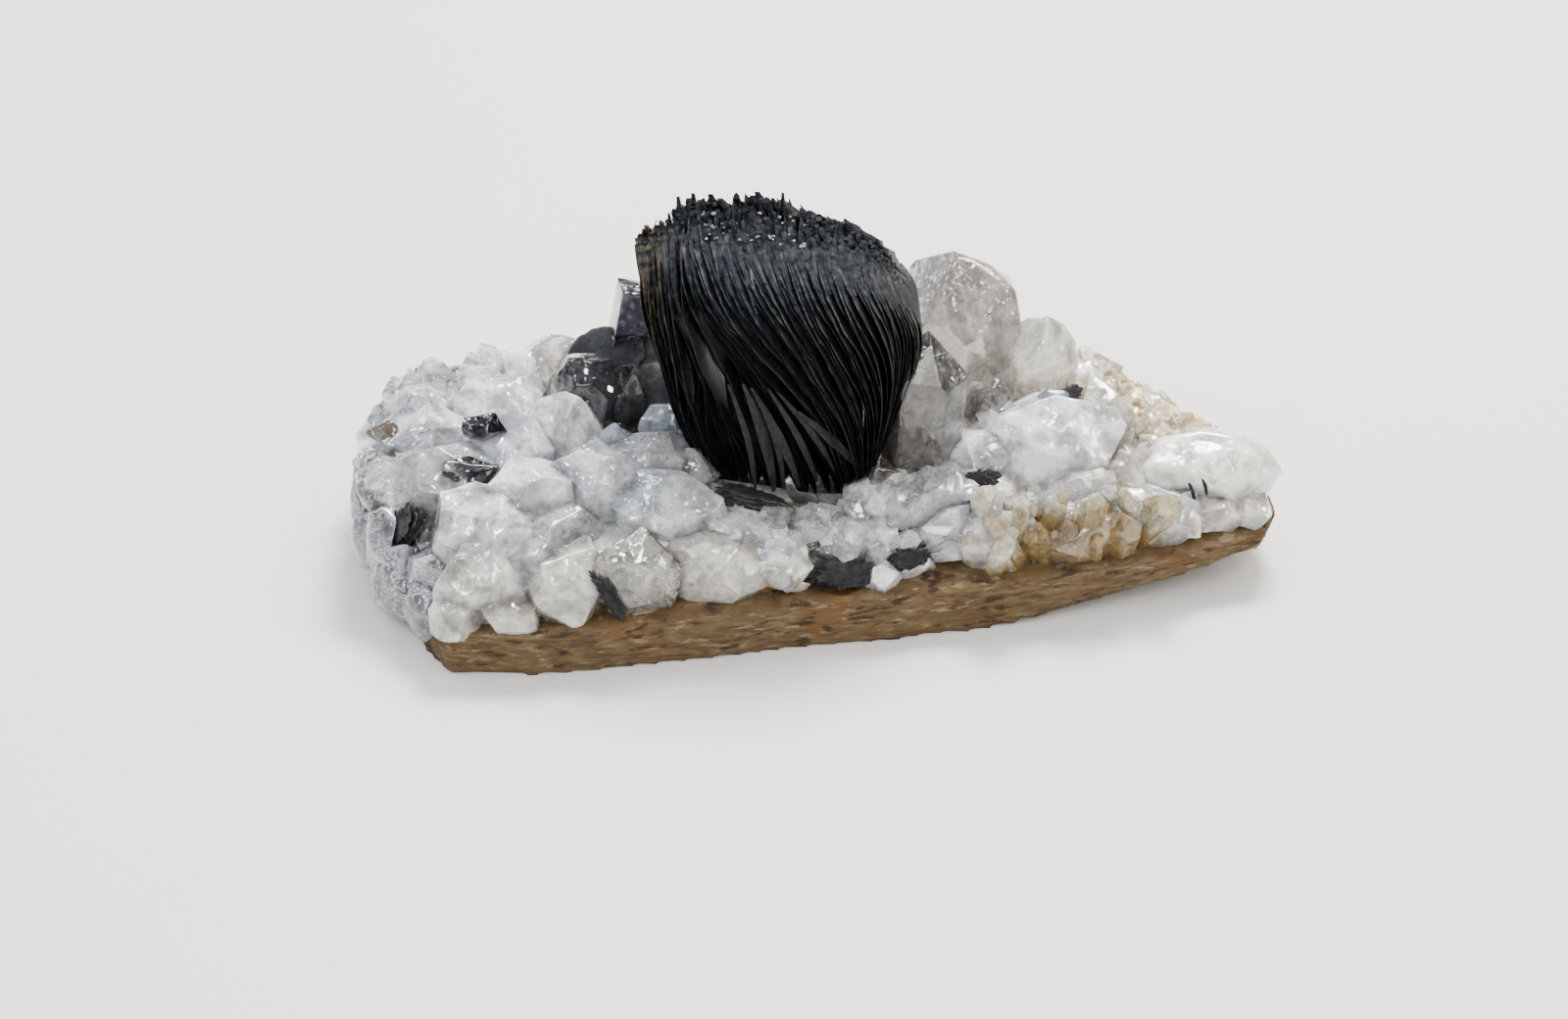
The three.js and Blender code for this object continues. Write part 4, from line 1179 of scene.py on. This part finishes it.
# The rose's guide lines, from its left side to its right: x and z from foot to crown
GUIDES = [
    [(-8.6, 8.6), (-11.6, 15.4), (-13, 21.6), (-14.6, 27.4), (-15.1, 32)],
    [(-3.4, 8), (-6.2, 16.2), (-8.8, 22.6), (-11.2, 28.6), (-12, 32.6)],
    [(1.2, 8.2), (-1.2, 17.6), (-4.3, 24), (-7.4, 29), (-9, 32.7)],
    [(4.1, 8.6), (2.4, 18), (0.1, 24.2), (-2.4, 29), (-4.2, 32.4)],
    [(5.5, 9), (5.4, 18.4), (3.9, 24.2), (2.1, 28.6), (0.6, 31.6)],
    [(5.9, 9.4), (7.5, 18.6), (8, 23.8), (7.2, 27.6), (5.2, 30.4)],
    [(6.1, 10), (8.6, 17.4), (10.1, 22.4), (10.2, 25.6), (8.6, 28.2)],
]
HALF_DEPTHS = [5.5, 8.3, 9.6, 9.2, 7.2, 2.2]  # from foot to crown
NARROWING = 0.5  # how much thinner the stack is at its two sides
CROWN_LIFT = 3.2  # how much higher the crown is at the back
ROSE_MIDDLE = 1.5
BEYOND_CROWN = 24  # rise per share above the crown

STACK = 64
STACK_SEED = 11
SCALES = 620  # short broken bits on the crown
CURLS = 16  # wavy blades low on the left
STEP_BACK = 0.06  # how far a blade may fall back behind the one before it

DUST_HEIGHT = 28.2  # the blades are dusty above this, and higher up on the right

# Where each blade starts in the foot of the stack: crown's place, foot's place
FEET = [(0, 0), (0.12, 0.03), (0.2, 0.1), (0.28, 0.46), (0.42, 0.56), (0.56, 0.64), (0.68, 0.76), (1, 1)]

# Broad blades that hang before the stack: upper end, lower end, width
SPEARS = [
    ((-5.6, -8.0, 23.1), (-2.9, -6.2, 10.8), 1.0),
    ((-4.9, -8.0, 22.7), (-0.6, -5.8, 11.0), 0.8),
    ((-3.4, -8.0, 22.6), (1.0, -5.2, 11.2), 0.6),
    ((-0.8, -7.8, 20.2), (5.0, -4.4, 12.0), 0.8),
    ((-6.9, -7.8, 22.9), (-4.6, -6.8, 11.4), 0.55),
    ((-2.6, -8.2, 22.4), (2.6, -5.0, 12.2), 0.55),
    ((-4.2, -8.1, 21.4), (-2.0, -6.2, 11.0), 0.5),
]


def along_row(values, share):
    """The value at a share, from 0 to 1, along an evenly spaced row, with no corners."""
    values = np.asarray(values, float)
    place = np.clip(share, 0, 1) * (len(values) - 1)
    i = min(int(place), len(values) - 2)
    t = place - i
    before = values[max(i - 1, 0)]
    after = values[min(i + 2, len(values) - 1)]
    start, end = values[i], values[i + 1]
    bend = (3 * start - before - 3 * end + after) * t + (2 * before - 5 * start + 4 * end - after)
    return start + 0.5 * t * (end - before + t * bend)


def rose_point(u, s, t, reach=1.0):
    """A point of the rose: u across the stack, s from foot to crown and t from front to back."""
    x, z = along_row([along_row(guide, s) for guide in GUIDES], u)
    inward = 1 - (2 * min(max(u, 0), 1) - 1) ** 2
    girth = 1 - NARROWING * (1 - inward)
    depth = float(along_row(HALF_DEPTHS, s)) * girth * reach
    rise = CROWN_LIFT * inward * t * s**3 + BEYOND_CROWN * max(0, s - 1)
    return np.array((x, ROSE_MIDDLE + (2 * t - 1) * depth, z + rise))


def rose_room():
    """The space that the rose stands in."""
    points = []
    middle = rose_point(0.5, 0.5, 0.5)
    for u, s, t in itertools.product((0, 0.33, 0.67, 1), (0, 0.25, 0.5, 0.75, 1), (0, 1)):
        point = rose_point(u, s, t, 1.02)
        out = (point - middle) / np.linalg.norm(point - middle)
        points.append((point + 0.2 * out) * MM)
    return hull("room", points)


def closed_leaf(front, back, width):
    """Joins two matching grids of points, width points to a row, into one closed leaf."""
    count = len(front)
    rows = count // width
    faces = []
    for i, j in itertools.product(range(rows - 1), range(width - 1)):
        a = i * width + j
        faces.append((a, a + width, a + width + 1, a + 1))
        faces.append((count + a, count + a + 1, count + a + width + 1, count + a + width))
    rim = list(range(width))
    rim += [i * width + width - 1 for i in range(1, rows)]
    rim += [(rows - 1) * width + j for j in range(width - 2, -1, -1)]
    rim += [i * width for i in range(rows - 2, 0, -1)]
    for a, b in zip(rim, rim[1:] + rim[:1]):
        faces.append((a, b, count + b, count + a))
    return front + back, faces


def blade(random, foot, crown, thickness, height=(0, 1), depth=(0, 1), reach=1.0,
          tooth=0.05, wave=0.006, taper=0.0, grid=(20, 10)):
    """One blade, a thin closed leaf with a wavy body and a ragged outline: its points, its faces and
    how pale each is painted, its own tone and a painted highlight on its rims. foot and crown say
    where in the stack it starts and ends, and taper how far its front edge draws back at the top."""
    rows, columns = grid
    phase = random() * TAU
    rim_highlight = random() ** 1.5
    tone = 0.1 * random() ** 2
    ripple = wave * (0.6 + random())
    notches = [(random() - 0.5) * tooth for _ in range(columns + 1)]
    edge_steps = [(random() - 0.5) * (0.05 + 0.06 * i / rows) for i in range(rows + 1)]
    inner = np.linspace(0.08, 0.92, columns - 3) if columns > 4 else [0.5]
    across = [0, 0.018, *inner, 0.982, 1]
    front, back, rims = [], [], []
    for i, j in itertools.product(range(rows + 1), range(columns + 1)):
        share = i / rows
        t = depth[0] + (depth[1] - depth[0]) * across[j]
        t += (depth[1] - t) * taper * share**2
        s = height[0] + (height[1] - height[0]) * share * (1 + notches[j] * share)
        at = foot + (crown - foot) * share + ripple * math.sin(phase + 9 * s + 3 * t)
        even = reach + (0.98 - reach) * max(0, s) ** 3
        point = rose_point(at, s, t, even * (1 + edge_steps[i] * abs(2 * t - 1)))
        rim = min(1, 0.12 + 3 * min(j, columns - j) / columns)
        half = 0.5 * thickness * rim * (0.5 + 0.5 * share)
        front.append(point - np.array((half, 0, 0)))
        back.append(point + np.array((half, 0, 0)))
        # Painted highlight on the blade's edges and top; elsewhere only its own tone
        rims.append(max(tone, rim_highlight if j in (0, columns) else 0.3 * rim_highlight * (i == rows)))
    points, faces = closed_leaf(front, back, columns + 1)
    return dict(points=points, faces=faces, rim=rims + rims)


def foot_of(crown):
    """Where in the stack's foot a blade starts: they fan out in the middle."""
    return float(np.interp(crown, *zip(*FEET)))


def spear(start, end, width, random, bend=0.6):
    """A broad pointed blade that hangs from start to end and faces the front."""
    start, end = np.array(start), np.array(end)
    along = end - start
    across = np.cross(along, (1.0, -0.8, 0.0))
    across /= np.linalg.norm(across)
    outward = np.cross(across, along)
    outward /= np.linalg.norm(outward)
    rows = 14
    columns = (-1, -0.86, -0.3, 0.3, 0.86, 1)
    bend *= 0.7 + 0.6 * random()
    front, back, rims = [], [], []
    for i in range(rows + 1):
        share = i / rows
        half = 0.5 * width * math.sin(math.pi * (0.06 + 0.84 * share)) * (0.9 + 0.2 * random())
        middle = start + along * share + outward * bend * math.sin(math.pi * share)
        for side in columns:
            point = middle + across * side * half - outward * 0.3 * side * half
            thickness = 0.02 if abs(side) == 1 else 0.09
            front.append(point - outward * thickness)
            back.append(point + outward * thickness)
            # Painted highlight: one edge painted pale, the other faintly
            rims.append(0.8 if side == -1 else 0.25 * (side == 1))
    points, faces = closed_leaf(front, back, len(columns))
    return dict(points=points, faces=faces, rim=rims + rims)


def stack_blades(random, pile):
    """The main stack, fanned towards the right at its foot."""
    steps = np.cumsum([0.4 + 1.3 * random() ** 2 for _ in range(STACK)])
    reach = 0.0
    for crown in (steps - 0.5 * steps[0]) / steps[-1]:
        thickness = 0.12 + 0.26 * random() ** 2
        reach = max(0.8 + 0.23 * random() ** 0.7, reach - STEP_BACK)
        top = 0.93 + 0.06 * random()
        foot = foot_of(crown) + 0.04 * (random() - 0.5)
        crown = crown + 0.016 * (random() - 0.5)
        wave = 0.005 + 0.014 * max(0.0, 1 - crown / 0.35)
        pile.add(**blade(random, foot, crown, thickness, (0, top), reach=reach, wave=wave))


def crown_scales(random, pile):
    """The short bits of the broken crown."""
    for _ in range(SCALES):
        u = 0.01 + 0.98 * random()
        t = 0.02 + 0.94 * random()
        wide = 0.05 + 0.1 * random()
        top = 0.974 + 0.018 * random() + 0.014 * random() * (t > 0.8)
        start = 0.84 - 0.16 * random() * (u < 0.6)
        pile.add(**blade(random, u, u + 0.03 * (random() - 0.5), 0.2 + 0.35 * random(),
                        (start, top), (t, t + wide), 0.98, tooth=0.16, grid=(4, 4)))


def low_curls(random, pile):
    """The wavy blades low on the left."""
    for k in range(CURLS):
        u = 0.01 + 0.3 * k / (CURLS - 1)
        pile.add(**blade(random, u, u - 0.02 * random(), 0.22, (0, 0.72 - 0.5 * u),
                        (0, 0.6), 0.88 + 0.08 * random(), tooth=0.2, wave=0.02, taper=0.7))


def rose_piece(glossy, dusty):
    """The iron rose, with the broad blades that hang before its stack; its crown is dusty."""
    random = random_stream(STACK_SEED)
    pile = Pile()
    stack_blades(random, pile)
    crown_scales(random, pile)
    low_curls(random, pile)
    for start, end, width in SPEARS:
        pile.add(**spear(start, end, width, random))
    made = pile.build("rose_blades", smooth=True)
    mesh = made.data
    x, _, z = read(mesh.vertices, "co", 3).T / MM
    left = np.clip((-12.2 - x) / 1.4, 0, 1) * np.clip((z - 21) / 4, 0, 1)
    set_attribute(mesh, "bronze", 0.6 * left)
    mesh.set_sharp_from_angle(angle=BLADE_CREASE)
    dress(mesh, glossy, dusty)
    middles = read(mesh.polygons, "center", 3) / MM
    patchy = np.array([noise.fractal(Vector(middle) / 1.5, 0.9, 2.0, 4) for middle in middles])
    dulled = middles[:, 2] + 1.8 * patchy > DUST_HEIGHT + 0.2 * np.maximum(middles[:, 0], 0)
    mesh.polygons.foreach_set("material_index", dulled.astype(np.int32))
    return made


# Black needles and a dark crack at the right end: upper end, lower end, width
NEEDLES = [
    ((30.5, -5.9, 9.6), (34.8, -7.0, 7.6), 0.4),
    ((35.2, -3.6, 10.0), (35.8, -3.9, 8.3), 0.26),
    ((36.4, -3.5, 10.4), (36.9, -3.8, 8.8), 0.26),
]


def needles_piece(material):
    random = random_stream(59)
    pile = Pile()
    for start, end, width in NEEDLES:
        pile.add(**spear(start, end, width, random, bend=0.1))
    made = pile.build("needles", smooth=True)
    set_attribute(made.data, "bronze", np.zeros(len(made.data.vertices)))
    dress(made.data, material)
    return made


# Crumbs of grey quartz on the rose's crown
CRUMBS = 60
CRUMB_TINT = (0.36, 0.38, 0.42)
FIRST_CRUMB_SEED = 900


def crumbs_piece(material):
    random = random_stream(83)
    pile = Pile()
    for i in range(CRUMBS):
        u = 0.3 + 0.34 * random()
        t = 0.18 + 0.6 * random()
        size = 0.06 + 0.14 * random() ** 2
        at = rose_point(u, 0.97 + 0.03 * random(), t)
        corners, faces = lump_body((size, size * 0.8, size * 0.7), FIRST_CRUMB_SEED + i, 9)
        pile.add(moved(corners, placing(at, (360 * random(), 0, 0))), faces, CRUMB_TINT, 0.6)
    return finished_pile(pile, "crown_crumbs", material)


# Plates of hematite

# The rosette's plates lie like roof tiles, from the upper left down to the rose's side
ROSETTE = dict(
    first=dict(at=(-18.9, 9.4, 15.6), turn=(34, -26, 0), radius=5.0),
    last=dict(at=(-12.8, 4.4, 13.8), turn=(46, 2, 0), radius=4.2),
    plates=15,
    thickness=0.3,
)

# Flakes, as in the model's source, little stacks of thin plates: middle, turn, radius, and
# width as a share of it
FLAKES = {
    "hematite_flake_front": ((3.2, -12.6, 6.2), (70, 0, 8), 3.4, 0.42),
    "hematite_flake_front_right": ((9.2, -11.6, 7.2), (70, 24, 8), 2.3, 0.5),
    "hematite_flake_right": ((15.4, -5.6, 11.2), (50, -32, 10), 2.4, 0.55),
    "hematite_flake_left": ((-17.2, -17.2, 6.8), (80, 0, -56), 2.9, 0.26),
    "hematite_flake_top": ((24, 2.6, 15), (35, 20, 40), 1.8, 0.6),
    "hematite_flake_left_end": ((-35.8, -9.8, 9.6), (40, -60, 0), 3, 0.7),
    "hematite_blades_foot": ((-5.4, -7.8, 10.8), (8, 12, -6), 3.6, 0.3),
}
LEAF = 0.5
GAP = 0.3
FLAKE_LEAVES = 11


def plate(random, radius, flat, thickness, ragged, rise=0.06):
    """A thin closed plate in the XY plane, round but for its ragged edge, whose middle rises."""
    count = 40
    rings = (0.0, 0.55, 0.85, 1.0)
    edge = [1 - ragged * random() * (1 if i % 3 else 0.3) for i in range(count)]
    upper, lower, painted_rims = [], [], []
    for ring in rings:
        for i in range(count):
            around = TAU * i / count
            out = radius * ring * edge[i] * (0.93 + 0.07 * math.cos(3 * around))
            rim = 0.25 if ring == 1.0 else 1.0
            x, y = out * math.cos(around), out * flat * math.sin(around)
            dome = rise * radius * (1 - ring * ring)
            # Painted highlight on the plate's outer rim
            painted_rims.append(0.45 * (ring == 1.0))
            upper.append(np.array((x, y, dome + 0.5 * thickness * rim)))
            lower.append(np.array((x, y, dome - 0.5 * thickness * rim)))
    points = upper + lower
    faces = []
    half = len(upper)
    last = (len(rings) - 1) * count
    for r, i in itertools.product(range(len(rings) - 1), range(count)):
        a, b = r * count + i, r * count + (i + 1) % count
        faces.append((a, a + count, b + count, b))
        faces.append((half + a, half + b, half + b + count, half + a + count))
    for i in range(count):
        a, b = last + i, last + (i + 1) % count
        faces.append((a, half + a, half + b, b))
    return np.array(points), faces, painted_rims + painted_rims


def rosette_plates(random, pile):
    """The rosette: broad plates that overlap one another down to the right."""
    first, last = ROSETTE["first"], ROSETTE["last"]
    for k in range(ROSETTE["plates"]):
        share = k / (ROSETTE["plates"] - 1)
        at, turn = (
            [a + (b - a) * share + (random() - 0.5) * shake for a, b in zip(first[key], last[key])]
            for key, shake in (("at", 0.7), ("turn", 6))
        )
        size = (first["radius"] + (last["radius"] - first["radius"]) * share) * (0.85 + 0.2 * random())
        points, faces, painted_rims = plate(random, size, 0.82, ROSETTE["thickness"], 0.06, 0.16)
        pile.add(moved(points, placing(at, turn)), faces, rim=painted_rims)


def flake_plates(random, pile, form):
    """A stack of thin ragged plates, fanned a little, in the place of one of the flakes."""
    spread = 3 * LEAF
    at, turn, radius, flat = form
    for k in range(FLAKE_LEAVES):
        share = k / (FLAKE_LEAVES - 1) - 0.5
        size = radius * (0.7 + 0.34 * random())
        points, faces, painted_rims = plate(random, size, flat, 0.13, 0.34)
        tilt = placing(
            ((random() - 0.5) * 0.5 * size, (random() - 0.5) * 0.3 * size, share * spread),
            (20 * (random() - 0.5) + 8 * share, 14 * (random() - 0.5), 30 * (random() - 0.5)),
        )
        pile.add(moved(points, placing(at, turn) @ tilt), faces, rim=painted_rims)


def plates_piece(name, seed, material, form=None):
    """The rosette, or a flake where its form is given, as one mesh of thin closed plates."""
    random = random_stream(seed)
    pile = Pile()
    if form:
        flake_plates(random, pile, form)
    else:
        rosette_plates(random, pile)
    made = pile.build(name, smooth=True)
    made.modifiers.new("weld", "WELD").merge_threshold = 0.001 * MM
    evaluated(made)
    made.data.set_sharp_from_angle(angle=BLADE_CREASE)
    set_attribute(made.data, "bronze", np.zeros(len(made.data.vertices)))
    dress(made.data, material)
    return made


def flake_room(form):
    """The pocket in the quartz that a flake sits in, a six-sided slot."""
    at, turn, radius, flat = form
    matrix = placing(at, turn)
    size = radius * 1.12
    half = 1.6 * LEAF + GAP
    corners = []
    for i, side in itertools.product(range(6), (-half, half)):
        around = i * math.pi / 3
        corner = Vector((size * math.cos(around), size * flat * math.sin(around), side))
        corners.append(matrix @ corner * MM)
    return hull("pocket", corners)


# Floor, light and camera


FLOOR_TONES = ((0.70, 0.69, 0.67), (0.74, 0.73, 0.71))


def floor():
    mesh = mesh_of("floor", [(-1, -1, 0), (1, -1, 0), (1, 1, 0), (-1, 1, 0)], [(0, 1, 2, 3)])
    material = bpy.data.materials.new("floor")
    g = Graph(material)
    g.set(Base_Color=g.mix(g.noise(60, detail=2), *FLOOR_TONES), Roughness=0.7)
    dress(mesh, material)
    link("floor", mesh)


def aimed(name, data, at, forward):
    """A light or a camera that looks along forward."""
    made = link(name, data)
    made.location = at
    made.rotation_mode = "QUATERNION"
    made.rotation_quaternion = forward.to_track_quat("-Z", "Y")
    return made


def lamp(name, at, size, watts, colour):
    """A soft rectangular light that looks at the specimen."""
    data = bpy.data.lights.new(name, "AREA")
    data.shape = "RECTANGLE"
    data.size, data.size_y = size
    data.energy = watts
    data.color = colour
    aimed(name, data, at, LIT - Vector(at))


# Lights in metres and watts. The point that they look at, the window behind and the room in
# front: place, size, power and colour
LIT = Vector((0, 0, 0.012))
WINDOW = ((0.08, 0.24, 0.42), (0.16, 0.12), 5.4, (1.0, 0.98, 0.95))
ROOM = ((0.0, -0.45, 0.32), (0.3, 0.16), 0.9, (1.0, 0.96, 0.9))

# Small bright panes all round, which give the crystals their glints
PANES = 30
PANE_DISTANCE = 0.34
PANE_HEIGHTS = (0.26, 0.42, 0.58)
PANE_SIZE = 0.034
PANE_WATTS = 0.21
COOL = (0.84, 0.91, 1.0)
WARM = (1.0, 0.95, 0.87)

# The room round the specimen: how finely it is parted, its dark and its bright parts
ROOM_PARTS = 3.2
ROOM_TONES = [(0.46, (0.04, 0.042, 0.05)), (0.56, (0.62, 0.62, 0.64))]


def lights():
    """A window behind, small panes all round and a soft light from the front."""
    lamp("window", *WINDOW)
    for i in range(PANES):
        around = TAU * (i + 0.5) / PANES
        height = PANE_HEIGHTS[i % len(PANE_HEIGHTS)]
        at = (PANE_DISTANCE * math.sin(around), -PANE_DISTANCE * math.cos(around), height)
        lamp("pane_%d" % i, at, (PANE_SIZE, PANE_SIZE), PANE_WATTS, COOL if at[0] < 0 else WARM)
    lamp("room", *ROOM)
    world = bpy.data.worlds.new("world")
    bpy.context.scene.world = world
    g = Graph(world, "Generated")
    parts = g.node("TexNoise", "Fac", {"Vector": g.place, "Scale": ROOM_PARTS, "Detail": 1.0})
    g.feed(g.tree.nodes["Background"].inputs["Color"], g.ramp(parts, *ROOM_TONES))
    g.feed(g.tree.nodes["Background"].inputs["Strength"], 1.0)


def camera():
    data = bpy.data.cameras.new("camera")
    data.sensor_width = SENSOR_WIDTH
    data.lens = SENSOR_WIDTH / 2 / math.tan(CAMERA_HALF_ANGLE)
    data.clip_start = 0.005
    forward = Vector((0, math.cos(CAMERA_ELEVATION), -math.sin(CAMERA_ELEVATION)))
    bpy.context.scene.camera = aimed("camera", data, CAMERA_AIM - forward * CAMERA_DISTANCE, forward)


def build():
    rock = rock_piece(rock_material())
    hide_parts("rock_slab")
    cloudy = cloudy_material()
    glass = {look: clear_material(look) for look in GLASS}
    milky = milky_piece(cloudy)
    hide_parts("quartz_crust")
    crystals = crystal_pieces(glass)
    masses = [piece.data for piece in crystals if piece.name.startswith("clear_mass")]
    samples = surface_samples([triangulated(milky), *masses])
    quartz = [
        milky,
        *strewn_pieces(MIDDLING, samples, (cloudy, glass["glassy"])),
        *strewn_pieces(SMALL, samples, (cloudy, glass["glassy"])),
        crumbs_piece(cloudy),
        *crystals,
    ]
    black = hematite_material("hematite", *GLOSSY)
    rose = rose_piece(black, hematite_material("dusty_hematite", *DUSTY))
    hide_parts("hematite_rose")
    rosette = plates_piece("rosette_plates", 23, black)
    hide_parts("hematite_rosette")
    hematite = [rose, rosette, needles_piece(black)]
    for i, (name, form) in enumerate(FLAKES.items()):
        made = plates_piece(name.replace("hematite_", ""), 71 + i, black, form)
        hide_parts(name)
        hematite.append(made)
    for piece in [rock, *quartz, *hematite]:
        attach(piece, "root")


build()
floor()
lights()
camera()
